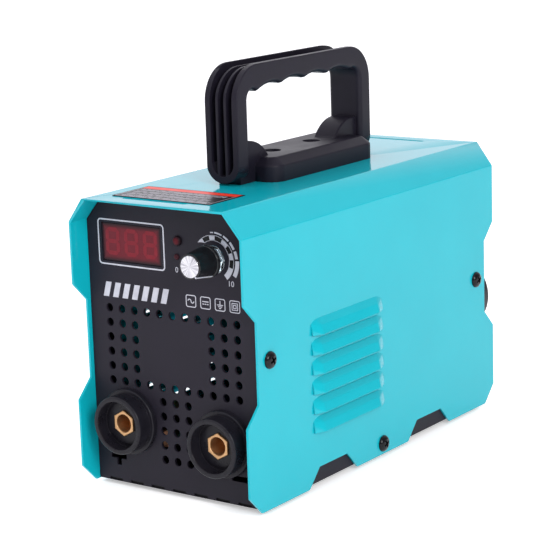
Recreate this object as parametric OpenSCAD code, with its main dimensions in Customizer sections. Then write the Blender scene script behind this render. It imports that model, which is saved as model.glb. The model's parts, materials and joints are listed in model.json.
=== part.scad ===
// Stick welding inverter: a sheet steel case with a carrying handle, two output sockets,
// a current knob and a display in front, and a fan, a switch and a cable gland behind.
// Every shape is drawn from the middle of the cover's front lower edge: x to the right,
// y to the rear, z up. stand() then moves it so that the origin lies on the floor under the middle.

/* [Cover] */
// Width of the cover over its side sheets
cover_w = 110; // [108:1:130]
// Depth of the cover from front edge to rear edge
cover_d = 245; // [240:1:290]
// Height of the cover from its lower edge to its top face
cover_h = 154; // [152:1:180]
// Thickness of the cover's sheet
cover_t = 1.2; // [0.8:0.1:1.6]
// Width of the slope between side and top
slope_w = 11; // [8:1:14]
// Height of the slope between side and top
slope_h = 13; // [10:1:16]
// Depth of the step in the front and rear side edges, and of the lower corner cuts
edge_step = 10; // [6:1:11]
// Height at which the edge step begins
step_low = 46; // [40:1:54]
// Height at which the edge step ends
step_top = 108; // [102:1:120]
// Distance between the two foot notches of a side
notch_spacing = 96.6; // [80:0.1:110]
// Width of a foot notch at the cover's lower edge
notch_low_w = 45; // [36:1:50]
// Width of a foot notch at its top
notch_top_w = 26; // [16:1:32]
// Height of a foot notch
notch_h = 10; // [6:0.5:12]
// Height of the cover's lower edge above the floor
floor_gap = 2; // [1.5:0.1:5]
// Clearance between the cover and the chassis inside it
chassis_gap = 0.3; // [0.2:0.05:0.6]

/* [Louvres] */
// Number of louvres on each side
louvre_count = 6; // [3:1:6]
// Height of the highest louvre's lip
louvre_top_lip = 80.9; // [78:0.1:90]
// Distance from one lip to the next
louvre_pitch = 10.35; // [9.5:0.05:10.5]
// Distance of the louvres from the cover's front edge
louvre_start = 56.5; // [50:0.5:70]
// Length of a louvre along the sheet
louvre_l = 66.5; // [40:0.5:100]
// Radius of a louvre's scoop
louvre_r = 8; // [7:0.1:8.5]
// Height of a scoop above the sheet
louvre_rise = 3.5; // [2.5:0.1:4]

/* [Chassis] */
// Height of the tray's lower face above the cover's lower edge
tray_z = 1.4; // [0.5:0.1:3]
// Thickness of the tray and of both end panels
panel_t = 1.5; // [1:0.1:2]
// Height of the tray's side walls
tray_wall_h = 22; // [14:0.5:24]
// Depth of the end panels behind the cover's edges
panel_inset = 12.5; // [11:0.5:16]
// Height of the panels' lower edges above the cover's lower edge
panel_low = 0.5; // [0:0.1:1]
// Length of the panels' folded flanges
flange_l = 18; // [15:0.5:24]
// Height at which the panels' side flanges begin
flange_low = 27; // [25:0.5:40]
// Diameter of a rubber foot
foot_d = 16; // [14:0.5:20]
// Distance of the feet from the cover's sides
foot_in = 17; // [15:0.5:25]
// Distance of the feet from the cover's front and rear edges
foot_y = 44; // [40:0.5:60]

/* [Screws] */
// Head diameter of the cover screws
screw_head_d = 9; // [7:0.1:10]
// Head height of the cover screws
screw_head_h = 2.5; // [1.5:0.1:3]
// Shank diameter of the cover, panel and foot screws
screw_d = 4; // [3:0.1:4.5]
// Height of the upper cover screws
screw_high_z = 77; // [65:0.5:90]
// Height of the lower cover screws
screw_low_z = 6; // [5:0.1:8]
// Distance of the upper cover screws from the end panels' outer faces
screw_in = 7.5; // [6:0.1:11]
// Clearance round a screw's shank
screw_gap = 0.2; // [0.1:0.05:0.3]

/* [Vent holes] */
// Diameter of a vent hole
vent_d = 4.5; // [3:0.1:5.5]
// Distance between vent columns
vent_pitch_x = 8.2; // [7:0.1:8.6]
// Distance between vent rows
vent_pitch_z = 7.75; // [6.5:0.05:7.9]
// Height of the highest vent row
vent_top = 94.7; // [94:0.1:96]

/* [Sockets] */
// Distance of the sockets' axes from the cover's sides
socket_in = 24.5; // [22:0.5:26]
// Height of the left socket's axis
socket_z = 35; // [33:0.5:40]
// How much lower the right socket sits
negative_drop = 3; // [0:0.5:4]
// Diameter of a socket's rim
socket_rim_d = 31; // [29:0.5:32]
// Diameter of a socket's flange on the panel
socket_flange_d = 35; // [34:0.5:36]
// Reach of a socket's rim in front of the panel
socket_reach = 11.5; // [9:0.5:14]
// Thickness of a socket's flange
socket_flange_t = 3; // [2:0.5:4]
// Inner diameter of a socket's cup
cup_d = 25.6; // [22:0.2:27]
// Depth of a socket's cup
cup_depth = 7.2; // [6:0.1:8]
// Diameter of a socket's barrel through the panel
barrel_d = 24; // [20:0.5:26]
// Length of a socket's barrel behind the panel's face
barrel_l = 22; // [18:0.5:26]
// Across flats of the brass insert
insert_af = 12.4; // [12:0.1:13]
// Depth of the insert's front face behind the rim
insert_sink = 5.5; // [4.5:0.1:5.8]
// Bore of the insert for the cable plug's pin
pin_bore_d = 9.4; // [9:0.1:9.8]
// Depth of that bore
pin_bore_l = 24.5; // [20:0.5:26]
// Diameter of the insert's rear stud
stud_d = 8; // [6:0.5:9]

/* [Display and lamps] */
// Width of the display window
window_w = 38.8; // [34:0.1:40]
// Height of the display window
window_h = 19.9; // [16:0.1:21]
// Distance of the window's centre from the cover's left side
window_in = 30.4; // [29:0.1:32]
// Distance of the window's centre below the cover's top
window_drop = 24.4; // [23:0.1:26]
// Diameter of the power lamp
power_led_d = 5; // [4:0.1:5]
// Diameter of the fault lamp
fault_led_d = 3; // [2.5:0.1:3]
// Distance of the power lamp from the middle
power_led_x = 6; // [4:0.1:8]
// Distance of the power lamp below the cover's top
power_led_drop = 19.8; // [17:0.1:21]
// Distance of the fault lamp from the middle
fault_led_x = 5; // [4:0.1:8]
// Distance of the fault lamp below the cover's top
fault_led_drop = 28.1; // [27:0.1:30]

/* [Current knob] */
// Distance of the knob's axis from the cover's right side
knob_in = 26.7; // [25:0.1:29]
// Distance of the knob's axis below the cover's top
knob_drop = 27.3; // [25:0.1:30]
// Reach of the knob in front of the panel
knob_reach = 19.8; // [16:0.1:24]
// Diameter of the knob's skirt
knob_skirt_d = 16.8; // [14:0.1:20]
// Diameter of the knob at its front edge
knob_front_d = 12.8; // [12:0.1:14]
// Diameter of the silver cap
cap_d = 11.1; // [9:0.1:11.4]
// Diameter of the control shaft
shaft_d = 6; // [5:0.1:6.4]
// Running clearance round the shaft in its bush
shaft_gap = 0.05; // [0.02:0.01:0.1]
// Outer diameter of the threaded bush
bush_d = 8.4; // [8:0.1:9]
// Diameter of the potentiometer's body
pot_d = 20; // [16:0.5:24]
// Diameter of the washer under the nut
pot_washer_d = 14.4; // [13:0.1:16]

/* [Handle] */
// Width of the handle's loop
handle_w = 21; // [19:0.2:24]
// Length of the handle's loop
handle_l = 125.4; // [124:0.2:140]
// Height of the handle above the cover's top
handle_h = 62; // [56:0.5:70]
// Gap between the posts' lower ends and the cover's top
post_gap = 1.2; // [0.4:0.1:2]
// Thickness of the handle's posts
post_t = 10.2; // [9:0.2:12]
// Thickness of the grip at its thickest
grip_t = 12; // [11:0.2:14]
// Outer corner radius of the loop
handle_r = 19; // [16:0.5:22]
// Depth of the grooves in the loop's outer side
groove_depth = 5; // [3:0.2:6]
// Width of a groove
groove_w = 3.7; // [3:0.1:4]
// Thickness of the ribs between the grooves
rib_t = 1.5; // [1.2:0.1:1.8]
// Number of grooves
groove_count = 3; // [2:1:3]
// Drop of the ribs below the two outer fins along the top
rib_drop = 1.8; // [0.5:0.1:3]
// Width of the rim round the grooves' lower ends
groove_rim = 3.5; // [2:0.1:5]
// Number of finger hollows under the grip
finger_count = 4; // [3:1:4]
// Length of one finger hollow
finger_pitch = 21.4; // [18:0.2:22]
// Depth of a finger hollow
finger_depth = 2; // [1:0.1:2.5]
// Width of the handle's base plate
plate_w = 41.2; // [36:0.2:46]
// Length of the handle's base plate
plate_l = 96; // [88:1:100]
// Distance of the base plate's centre behind the handle's middle
plate_shift = 4; // [0:0.5:5]
// Corner radius of the base plate
plate_r = 8; // [6:0.5:14]
// Height of the base plate's upright edge
plate_edge_h = 8.5; // [7:0.5:10]
// Height of the base plate's chamfer
plate_bevel_h = 4; // [2:0.5:5]
// Width of the base plate's chamfer
plate_bevel_w = 5; // [3:0.5:6]
// Radius of the round ears between posts and plate
ear_r = 22; // [20:0.5:23]
// Width of the ears
ear_w = 14; // [12:0.5:16]
// Distance of the ears' centres from the posts' inner faces
ear_in = 3; // [1:0.5:4]
// Distance between the two handle screws
handle_screw_spacing = 37.4; // [32:0.2:40]
// Diameter of the sunk holes for the handle screws
sink_d = 10; // [9.5:0.1:11]
// Shank diameter of the handle screws
handle_screw_d = 5; // [4:0.1:5.5]

/* [Top label] */
// Width of the label on the cover's top
label_w = 62.5; // [50:0.5:66]
// Length of the label along the cover
label_l = 29.5; // [24:0.5:34]
// Distance of the label from the cover's front edge
label_y = 12; // [8:0.5:16]
// Distance of the label's centre from the middle
label_x = -3.8; // [-8:0.1:8]
// Thickness of the label
label_t = 0.3; // [0.2:0.05:0.5]

/* [Boards and power parts] */
// Thickness of the circuit boards
board_t = 1.6; // [1:0.1:2]
// Space between the main board and the tray's side walls
board_side = 4; // [2:0.5:5]
// Space between the main board and the fan
fan_space = 11; // [9:0.5:14]
// Distance of the main board from the cover's front edge
board_y = 50; // [46:0.5:52]
// Height of the standoffs under the main board
standoff_h = 10; // [8:0.5:14]
// Space between the front panel and the control board
control_depth = 10; // [9:0.5:14]
// Space between the control board and the panel's side flanges
control_side = 6; // [5:0.5:8]
// Distance of the control board's upper edge below the cover's top
control_drop = 9; // [8:0.5:12]
// Height of the control board
control_h = 44; // [42:0.5:45]
// Height of the heat sinks
sink_h = 62; // [50:0.5:66]
// Distance of the heat sinks' fins from the main board's sides
sink_edge = 9; // [8.5:0.5:14]
// Thickness of a heat sink's back
sink_back = 4; // [3:0.5:5]
// Number of fins on a heat sink
fin_count = 9; // [6:1:10]
// Thickness of a fin
fin_t = 2; // [1.5:0.1:2.5]
// Distance between the two heat sinks' backs
sink_space = 24; // [20:0.5:26]
// Diameter of the bus capacitors
cap_can_d = 22; // [18:0.5:24]
// Height of the bus capacitors
cap_can_h = 45; // [35:0.5:50]
// Width of the transformer's core
core_w = 42; // [40:0.5:44]
// Depth of the transformer's core
core_d = 36; // [32:0.5:38]
// Height of the transformer's core
core_h = 34; // [30:0.5:40]
// Thickness of the copper bars
bar_t = 2; // [1.5:0.1:2.5]
// Width of the copper bars
bar_w = 16; // [14:0.5:18]

/* [Fan] */
// Side length of the fan's frame
fan_w = 50; // [46:0.5:56]
// Depth of the fan's frame
fan_t = 20; // [18:0.5:25]
// Clearance between the fan and the rear panel's side flange
fan_side = 0.4; // [0.3:0.1:2]
// Height of the fan above the rear panel's lower flange
fan_low = 5.6; // [4:0.2:8]
// Distance of the fan's screws from the sides of its frame
fan_screw_edge = 5; // [4.5:0.1:5.5]
// Number of fan blades
blade_count = 7; // [5:1:9]
// Diameter of the fan's hub
hub_d = 22; // [18:0.5:24]
// Pitch of the fan blades in degrees
blade_pitch = 38; // [30:1:45]
// Clearance between the blade tips and the duct
tip_gap = 0.8; // [0.5:0.1:1.5]
// Diameter of the fan's axle
axle_d = 3; // [2.5:0.1:4]
// Width and thickness of the guard's bars
wire_d = 2; // [1.6:0.1:2.2]
// Number of rings in the guard
ring_count = 4; // [3:1:4]

/* [Power switch] */
// Width of the switch's bezel
bezel_w = 26; // [25:0.5:30]
// Height of the switch's bezel
bezel_h = 32; // [30:0.5:34]
// Thickness of the bezel
bezel_t = 2; // [1.5:0.1:3]
// Width of the switch's body behind the panel
switch_w = 22; // [21:0.5:23]
// Height of the switch's body behind the panel
switch_h = 27.6; // [27:0.1:28]
// Depth of the switch's body behind the panel's face
switch_depth = 22; // [20:0.5:26]
// Distance of the switch's centre below the cover's top
switch_drop = 30; // [28:0.5:32]
// Width of the rocker
rocker_w = 18; // [14:0.5:18]
// Radius of the rocker about its pivot
rocker_r = 11.5; // [10:0.1:12]
// Angle of the rocker to either side of its middle
rocker_tilt = 11; // [8:1:12]
// Clearance round the rocker
rocker_gap = 0.4; // [0.3:0.05:0.6]
// Diameter of the rocker's pivot
pivot_d = 4; // [3:0.1:5]

/* [Cable gland] */
// Distance of the gland's axis from the cover's right side
gland_in = 26.7; // [25:0.1:27]
// Height of the gland's axis
gland_z = 62.3; // [60:0.1:66]
// Diameter of the gland's nut
gland_d = 44; // [40:0.5:46]
// Diameter of the gland's collar on the panel
gland_collar_d = 36; // [35:0.5:37]
// Diameter of the gland's thread through the panel
gland_thread_d = 32; // [28:0.5:33]
// Reach of the gland behind the panel
gland_reach = 19.8; // [16:0.1:24]
// Thickness of the gland's collar
gland_collar_t = 6; // [4:0.5:8]
// Bore of the gland for the mains cable
cable_bore_d = 13; // [10:0.5:16]

/* [Hidden] */
$fn = 64;

// Colours as the photograph shows them
teal = "#38bccb";
charcoal = "#2c2a33";
black = "#1b1b1f";
steel = "#b9bcc0";
copper = "#b87440";
brass = "#c9a25c";
board_green = "#2f6b45";

// How far a cutting shape reaches past the face it cuts
past = 1;
// Small clearance between pieces that are pushed together
seat_gap = 0.1;

// Places that follow from the sizes above
middle_y = cover_d / 2;
front_y = panel_inset;
rear_y = cover_d - panel_inset;
front_inner = front_y + panel_t;
rear_inner = rear_y - panel_t;
chassis_w = cover_w - 2 * (cover_t + chassis_gap);
tray_top = tray_z + panel_t;
board_z = tray_top + standoff_h;
board_top = board_z + board_t;
control_y = front_inner + control_depth;
socket_x = cover_w / 2 - socket_in;
knob_x = cover_w / 2 - knob_in;
knob_z = cover_h - knob_drop;
window_x = window_in - cover_w / 2;
window_z = cover_h - window_drop;
power_led_z = cover_h - power_led_drop;
fault_led_z = cover_h - fault_led_drop;
foot_x = cover_w / 2 - foot_in;
switch_z = cover_h - switch_drop;
gland_x = cover_w / 2 - gland_in;
fan_front = rear_inner - fan_t;
fan_x = fan_side + panel_t + fan_w / 2 - chassis_w / 2;
fan_z = tray_top + panel_t + fan_low + fan_w / 2;
fan_screw_spacing = fan_w - 2 * fan_screw_edge;
board_w = chassis_w - 2 * (panel_t + board_side);
board_l = fan_front - fan_space - board_y;
control_w = chassis_w - 2 * (panel_t + control_side);
control_top = cover_h - control_drop;
sink_w = board_w / 2 - sink_space / 2 - sink_edge;
slope_angle = atan(slope_w / slope_h);
hex_ratio = 1 / cos(30);

// Moves the drawing onto the floor, with the origin under the middle
module stand() translate([0, -middle_y, floor_gap]) children();

// A flat shape in x and z, drawn out along y
module along_y(from, to) {
    translate([0, to, 0]) rotate([90, 0, 0]) linear_extrude(to - from) children();
}

// A flat shape in y and z, drawn out along x
module along_x(from, to) {
    translate([from, 0, 0]) rotate([90, 0, 90]) linear_extrude(to - from) children();
}

module rod_x(d, from, to) translate([from, 0, 0]) rotate([0, 90, 0]) cylinder(d = d, h = to - from);
module rod_y(d, from, to) translate([0, from, 0]) rotate([-90, 0, 0]) cylinder(d = d, h = to - from);
module rod_z(d, from, to) translate([0, 0, from]) cylinder(d = d, h = to - from);
module cone_y(d1, d2, from, to) {
    translate([0, from, 0]) rotate([-90, 0, 0]) cylinder(d1 = d1, d2 = d2, h = to - from);
}
module hex_y(af, from, to) {
    translate([0, from, 0]) rotate([-90, 0, 0]) cylinder(d = af * hex_ratio, h = to - from, $fn = 6);
}
module hex_z(af, from, to) translate([0, 0, from]) cylinder(d = af * hex_ratio, h = to - from, $fn = 6);

// A box from its low corner to its high corner
module block(low, high) translate(low) cube(high - low);

// A flat rectangle with round corners, centred
module round_rect(w, l, r) {
    square([w - 2 * r, l], center = true);
    square([w, l - 2 * r], center = true);
    for (x = [-1, 1], y = [-1, 1]) translate([x * (w / 2 - r), y * (l / 2 - r)]) circle(r);
}

module both_sides() {
    for (side = [0, 1]) mirror([side, 0, 0]) children();
}

// The cover

function side_corner(inset) =
    [cover_w / 2 - inset, cover_h - slope_h - inset * tan(slope_angle / 2)];
function top_corner(inset) =
    [cover_w / 2 - slope_w - inset * tan(45 - slope_angle / 2), cover_h - inset];

// The cover's section, drawn in by inset, down to the height low
module roof_outline(inset, low) {
    side = side_corner(inset);
    top = top_corner(inset);
    polygon([[-side.x, low], [-side.x, side.y], [-top.x, top.y], top, side, [side.x, low]]);
}

// One end of the cover's side edge from the lower corner up
edge_points = [
    [edge_step, 0], [0, edge_step], [0, step_low], [edge_step, step_low + edge_step],
    [edge_step, step_top - edge_step], [0, step_top], [0, cover_h]
];
function notch_points(centre) = [
    [centre + notch_low_w / 2, 0], [centre + notch_top_w / 2, notch_h],
    [centre - notch_top_w / 2, notch_h], [centre - notch_low_w / 2, 0]
];

module side_outline() {
    last = len(edge_points) - 1;
    rear_points = [for (i = [last:-1:0]) [cover_d - edge_points[i].x, edge_points[i].y]];
    polygon(concat(edge_points, rear_points,
        notch_points(middle_y + notch_spacing / 2), notch_points(middle_y - notch_spacing / 2)));
}

// The scoop's half length along its axis, where its round ends meet the sheet at louvre_l
louvre_axis_x = cover_w / 2 - (louvre_r - louvre_rise);
louvre_end = sqrt(louvre_r * louvre_r - (louvre_r - louvre_rise) * (louvre_r - louvre_rise));

module capsule(r) {
    from = louvre_start + louvre_end;
    to = louvre_start + louvre_l - louvre_end;
    rod_y(2 * r, from, to);
    for (y = [from, to]) translate([0, y, 0]) sphere(r);
}

module scoop(r, inner_x, low) {
    intersection() {
        translate([louvre_axis_x, 0, 0]) capsule(r);
        block([inner_x, 0, low], [cover_w, cover_d, louvre_r + past]);
    }
}

module at_louvres() {
    for (i = [0:louvre_count - 1]) translate([0, 0, louvre_top_lip - i * louvre_pitch]) children();
}

// The places of the side screws in y and z
side_screws = [
    [front_y + screw_in, screw_high_z], [middle_y, screw_low_z], [rear_y - screw_in, screw_high_z]
];
module at_side_screws() {
    for (place = side_screws) translate([0, place.x, place.y]) children();
}
module at_handle_screws() {
    for (side = [-1, 1]) translate([0, middle_y + side * handle_screw_spacing / 2, 0]) children();
}

module cover() color(teal) stand() difference() {
    union() {
        intersection() {
            along_y(0, cover_d) difference() {
                roof_outline(0, 0);
                roof_outline(cover_t, -past);
            }
            along_x(-cover_w, cover_w) side_outline();
        }
        both_sides() at_louvres() scoop(louvre_r, cover_w / 2 - cover_t / 2, 0);
    }
    both_sides() at_louvres() scoop(louvre_r - cover_t, cover_w / 2 - cover_t - past, -cover_t / 2);
    at_side_screws() rod_x(screw_d + 2 * screw_gap, -cover_w, cover_w);
    at_handle_screws() rod_z(handle_screw_d + 2 * screw_gap, cover_h - cover_t - past, cover_h + past);
}

// A pan head with a cross recess, its seat at z = 0 and its shank below
recess_w = 1.2;
module pan_screw(head_d, head_h, d, l) {
    difference() {
        cylinder(d1 = head_d, d2 = head_d - head_h, h = head_h);
        for (turn = [0, 90]) rotate(turn) translate([0, 0, head_h])
            cube([head_d / 2, recess_w, head_h], center = true);
    }
    translate([0, 0, -l]) cylinder(d = d, h = l);
}

screw_end = 4;
side_screw_l = cover_t + chassis_gap + panel_t + screw_end;
module cover_screws() color(black) stand() both_sides() at_side_screws() {
    translate([cover_w / 2, 0, 0]) rotate([0, 90, 0])
        pan_screw(screw_head_d, screw_head_h, screw_d, side_screw_l);
}

// The tray, the end panels and the feet

module at_feet() {
    for (x = [-1, 1], y = [foot_y, cover_d - foot_y]) translate([x * foot_x, y, 0]) children();
}
panel_screw_x = 20;
module at_panel_screws() {
    for (x = [-1, 1], y = [front_inner + flange_l / 2, rear_inner - flange_l / 2])
        translate([x * panel_screw_x, y, 0]) children();
}

module base_tray() color(charcoal) stand() difference() {
    along_y(front_inner, rear_inner) difference() {
        translate([-chassis_w / 2, tray_z]) square([chassis_w, tray_wall_h]);
        translate([-chassis_w / 2 + panel_t, tray_top]) square([chassis_w - 2 * panel_t, tray_wall_h]);
    }
    at_side_screws() rod_x(screw_d + 2 * screw_gap, -cover_w, cover_w);
    at_feet() rod_z(screw_d + 2 * screw_gap, 0, tray_top + past);
    at_panel_screws() rod_z(screw_d + 2 * screw_gap, 0, tray_top + past);
}

// The flat of an end panel with its folded flanges, the flat's outer face at y = 0
module end_panel() {
    inset = cover_t + chassis_gap;
    corner_z = side_corner(inset).y - chassis_gap;
    along_y(0, panel_t) roof_outline(inset, panel_low);
    both_sides() block(
        [chassis_w / 2 - panel_t, 0, flange_low], [chassis_w / 2, panel_t + flange_l, corner_z]);
    bottom_w = chassis_w / 2 - panel_t - chassis_gap;
    block([-bottom_w, 0, tray_top], [bottom_w, panel_t + flange_l, tray_top + panel_t]);
}

// Whether a vent hole is drilled at a column and a row
vent_columns = 11;
vent_middle = (vent_columns - 1) / 2;
vent_rows = 11;
vent_band = 5;
function has_vent(column, row) =
    row == 0 || row == vent_band
    || (row < vent_band && (column < 3 || column > 7))
    || (row > vent_band && column > 3 && column < 7);

module vents() {
    for (row = [0:vent_rows - 1], column = [0:vent_columns - 1])
        if (has_vent(column, row))
            translate([(column - vent_middle) * vent_pitch_x, 0, vent_top - row * vent_pitch_z])
                rod_y(vent_d, -past, panel_t + past);
}

// Polarity cut-outs under the sockets
sign_x = 39.6;
sign_z = 14.6;
sign_l = 9.6;
plus_stroke = 2;
minus_stroke = 2.5;
module signs() {
    along_y(-past, panel_t + past) {
        translate([-sign_x, sign_z]) square([sign_l, plus_stroke], center = true);
        translate([-sign_x, sign_z]) square([plus_stroke, sign_l], center = true);
        translate([sign_x, sign_z]) square([sign_l, minus_stroke], center = true);
    }
}

function socket_height(side) = side < 0 ? socket_z : socket_z - negative_drop;
module at_sockets() for (side = [-1, 1]) translate([side * socket_x, 0, socket_height(side)]) children();
module at_knob() translate([knob_x, 0, knob_z]) children();
module at_window() translate([window_x, 0, window_z]) children();

module front_panel() color(charcoal) stand() translate([0, front_y, 0]) difference() {
    end_panel();
    vents();
    signs();
    at_sockets() rod_y(barrel_d + 2 * seat_gap, -past, panel_t + past);
    at_knob() rod_y(bush_d + 2 * seat_gap, -past, panel_t + past);
    at_window() along_y(-past, panel_t + past)
        square([window_w + 2 * seat_gap, window_h + 2 * seat_gap], center = true);
    translate([power_led_x, 0, power_led_z]) rod_y(power_led_d + 2 * seat_gap, -past, panel_t + past);
    translate([fault_led_x, 0, fault_led_z]) rod_y(fault_led_d + 2 * seat_gap, -past, panel_t + past);
    translate([0, screw_in, screw_high_z]) rod_x(screw_d + 2 * screw_gap, -cover_w, cover_w);
    translate([0, -front_y, 0]) at_panel_screws() rod_z(screw_d + 2 * screw_gap, 0, tray_top + panel_t + past);
}

module at_fan() translate([fan_x, 0, fan_z]) children();
module at_fan_screws() {
    reach = fan_screw_spacing / 2;
    for (x = [-reach, reach], z = [-reach, reach]) translate([x, 0, z]) children();
}
duct_wall = 1.5;
duct_d = fan_w - 2 * duct_wall;

module rear_panel() color(charcoal) stand() difference() {
    translate([0, rear_y, 0]) mirror([0, 1, 0]) end_panel();
    at_fan() {
        rod_y(duct_d, rear_inner - past, rear_y + past);
        at_fan_screws() rod_y(fan_screw_d + 2 * screw_gap, rear_inner - past, rear_y + past);
    }
    translate([gland_x, 0, gland_z]) rod_y(gland_thread_d + 2 * seat_gap, rear_inner - past, rear_y + past);
    translate([0, 0, switch_z]) along_y(rear_inner - past, rear_y + past)
        square([switch_w + 2 * seat_gap, switch_h + 2 * seat_gap], center = true);
    translate([0, rear_y - screw_in, screw_high_z]) rod_x(screw_d + 2 * screw_gap, -cover_w, cover_w);
    at_panel_screws() rod_z(screw_d + 2 * screw_gap, 0, tray_top + panel_t + past);
}

panel_screw_head_h = 1.6;
module panel_screws() color(steel) stand() at_panel_screws() {
    translate([0, 0, tray_z]) rotate([180, 0, 0])
        pan_screw(2 * screw_d, panel_screw_head_h, screw_d, 2 * panel_t + screw_end);
}

// A foot with a sunk hole for its screw's head
foot_sink_h = 2;
module rubber_feet() color(black) stand() at_feet() difference() {
    rod_z(foot_d, -floor_gap, tray_z);
    rod_z(screw_d + 2 * screw_gap, -floor_gap - past, tray_z + past);
    rod_z(2 * screw_d + 2 * screw_gap, -floor_gap - past, -floor_gap + foot_sink_h);
}

foot_nut_h = 3;
foot_screw_l = tray_top + floor_gap - foot_sink_h + foot_nut_h + past;
module foot_screws() color(steel) stand() at_feet() {
    translate([0, 0, -floor_gap + foot_sink_h]) rotate([180, 0, 0])
        pan_screw(2 * screw_d, panel_screw_head_h, screw_d, foot_screw_l);
    hex_z(1.75 * screw_d, tray_top, tray_top + foot_nut_h);
}

// The handle

handle_top = cover_h + handle_h;
handle_front = middle_y - handle_l / 2;
handle_rear = middle_y + handle_l / 2;
plate_top = cover_h + plate_edge_h + plate_bevel_h;
opening_r = handle_r - post_t;
post_low = cover_h + post_gap + handle_w / 2;

// The loop's outer outline in y and z, drawn in by inset, down to the height low
module loop_outline(inset, low) {
    r = handle_r - inset;
    front = handle_front + inset;
    rear = handle_rear - inset;
    top = handle_top - inset;
    translate([front, low]) square([rear - front, top - r - low]);
    translate([front + r, low]) square([rear - front - 2 * r, top - low]);
    for (y = [front + r, rear - r]) translate([y, top - r]) circle(r);
}

// The hand's opening, with round upper corners
module loop_opening() {
    front = handle_front + post_t;
    rear = handle_rear - post_t;
    top = handle_top - grip_t;
    low = cover_h - past;
    translate([front, low]) square([rear - front, top - opening_r - low]);
    translate([front + opening_r, low]) square([rear - front - 2 * opening_r, top - low]);
    for (y = [front + opening_r, rear - opening_r]) translate([y, top - opening_r]) circle(opening_r);
}

// A post seen from the front: the sides run down to a round end, drawn in there by rim
module post_front(rim) {
    translate([0, post_low]) circle(d = handle_w - 2 * rim);
    translate([-handle_w / 2, post_low]) square([handle_w, handle_top + past - post_low]);
}

// Finger hollows under the grip
finger_r = (finger_pitch * finger_pitch / 4 + finger_depth * finger_depth) / (2 * finger_depth);
module finger_hollows() {
    top = handle_top - grip_t + finger_depth;
    for (i = [0:finger_count - 1])
        translate([0, middle_y + (i - (finger_count - 1) / 2) * finger_pitch, 0]) intersection() {
            translate([0, 0, top - finger_r]) rod_x(2 * finger_r, -handle_w, handle_w);
            block([-handle_w, -finger_pitch / 2, top - 2 * finger_depth], [handle_w, finger_pitch / 2, top]);
        }
}

// Grooves run up the front, over the top and down the rear, and the ribs between them lie lower on top
module grooves() {
    pitch = groove_w + rib_t;
    span = groove_count * pitch - rib_t;
    intersection() {
        union() {
            for (i = [0:groove_count - 1]) {
                centre = (i - (groove_count - 1) / 2) * pitch;
                along_x(centre - groove_w / 2, centre + groove_w / 2) difference() {
                    loop_outline(-past, cover_h);
                    loop_outline(groove_depth, cover_h - past);
                }
            }
            along_x(-span / 2, span / 2) difference() {
                loop_outline(-2 * past, cover_h);
                translate([0, -rib_drop - past]) loop_outline(-past, cover_h - 2 * past);
            }
        }
        along_y(0, cover_d) post_front(groove_rim);
    }
}

module base_plate() {
    inner_w = plate_w / 2 - plate_bevel_w;
    inner_l = plate_l / 2 - plate_bevel_w;
    edge_z = cover_h + plate_edge_h;
    centre = middle_y + plate_shift;
    intersection() {
        translate([0, centre, cover_h]) linear_extrude(plate_edge_h + plate_bevel_h)
            round_rect(plate_w, plate_l, plate_r);
        along_y(0, cover_d) polygon([
            [-plate_w / 2, cover_h], [-plate_w / 2, edge_z], [-inner_w, plate_top],
            [inner_w, plate_top], [plate_w / 2, edge_z], [plate_w / 2, cover_h]]);
        along_x(-plate_w, plate_w) translate([centre, 0]) polygon([
            [-plate_l / 2, cover_h], [-plate_l / 2, edge_z], [-inner_l, plate_top],
            [inner_l, plate_top], [plate_l / 2, edge_z], [plate_l / 2, cover_h]]);
    }
}

// Round ears that join the posts to the base plate
module ears() {
    reach = handle_l / 2 - post_t - ear_in;
    intersection() {
        for (side = [-1, 1]) translate([0, middle_y + side * reach, cover_h])
            rod_x(2 * ear_r, -ear_w / 2, ear_w / 2);
        along_x(-handle_w, handle_w) loop_outline(groove_depth, cover_h);
    }
}

handle_screw_head_h = 3.2;
handle_seat_h = 4;
handle_screw_seat = cover_h + handle_seat_h;
module moulded_handle() difference() {
    union() {
        intersection() {
            union() {
                along_x(-handle_w / 2, handle_w / 2) difference() {
                    loop_outline(0, cover_h);
                    loop_opening();
                }
                ears();
            }
            along_y(0, cover_d) post_front(0);
        }
        base_plate();
    }
    grooves();
    finger_hollows();
    at_handle_screws() {
        rod_z(handle_screw_d + 2 * screw_gap, cover_h - past, plate_top + past);
        rod_z(sink_d, handle_screw_seat, plate_top + past);
    }
}

// The straight grip lies between the loop's two round corners
module grip_space() block(
    [-handle_w, handle_front + handle_r, handle_top - handle_r],
    [handle_w, handle_rear - handle_r, handle_top + past]);

module handle() color(black) stand() difference() {
    moulded_handle();
    grip_space();
}

module handle_grip() color(black) stand() intersection() {
    moulded_handle();
    grip_space();
}

handle_nut_h = 4;
handle_washer_t = 1;
handle_screw_l = handle_screw_seat - cover_h + cover_t + handle_washer_t + handle_nut_h + past;
module handle_screws() color(steel) stand() at_handle_screws() {
    translate([0, 0, handle_screw_seat])
        pan_screw(sink_d - past, handle_screw_head_h, handle_screw_d, handle_screw_l);
}

module handle_nuts() color(steel) stand() at_handle_screws() difference() {
    under = cover_h - cover_t;
    union() {
        rod_z(2.4 * handle_screw_d, under - handle_washer_t, under);
        hex_z(1.6 * handle_screw_d, under - handle_washer_t - handle_nut_h, under - handle_washer_t);
    }
    rod_z(handle_screw_d + seat_gap, under - handle_washer_t - handle_nut_h - past, under + past);
}

module top_label() color("#3a3a40") stand() {
    translate([label_x - label_w / 2, label_y, cover_h]) cube([label_w, label_l, label_t]);
}

// The output sockets, drawn about their own axis with y = 0 on the panel's outer face

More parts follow.
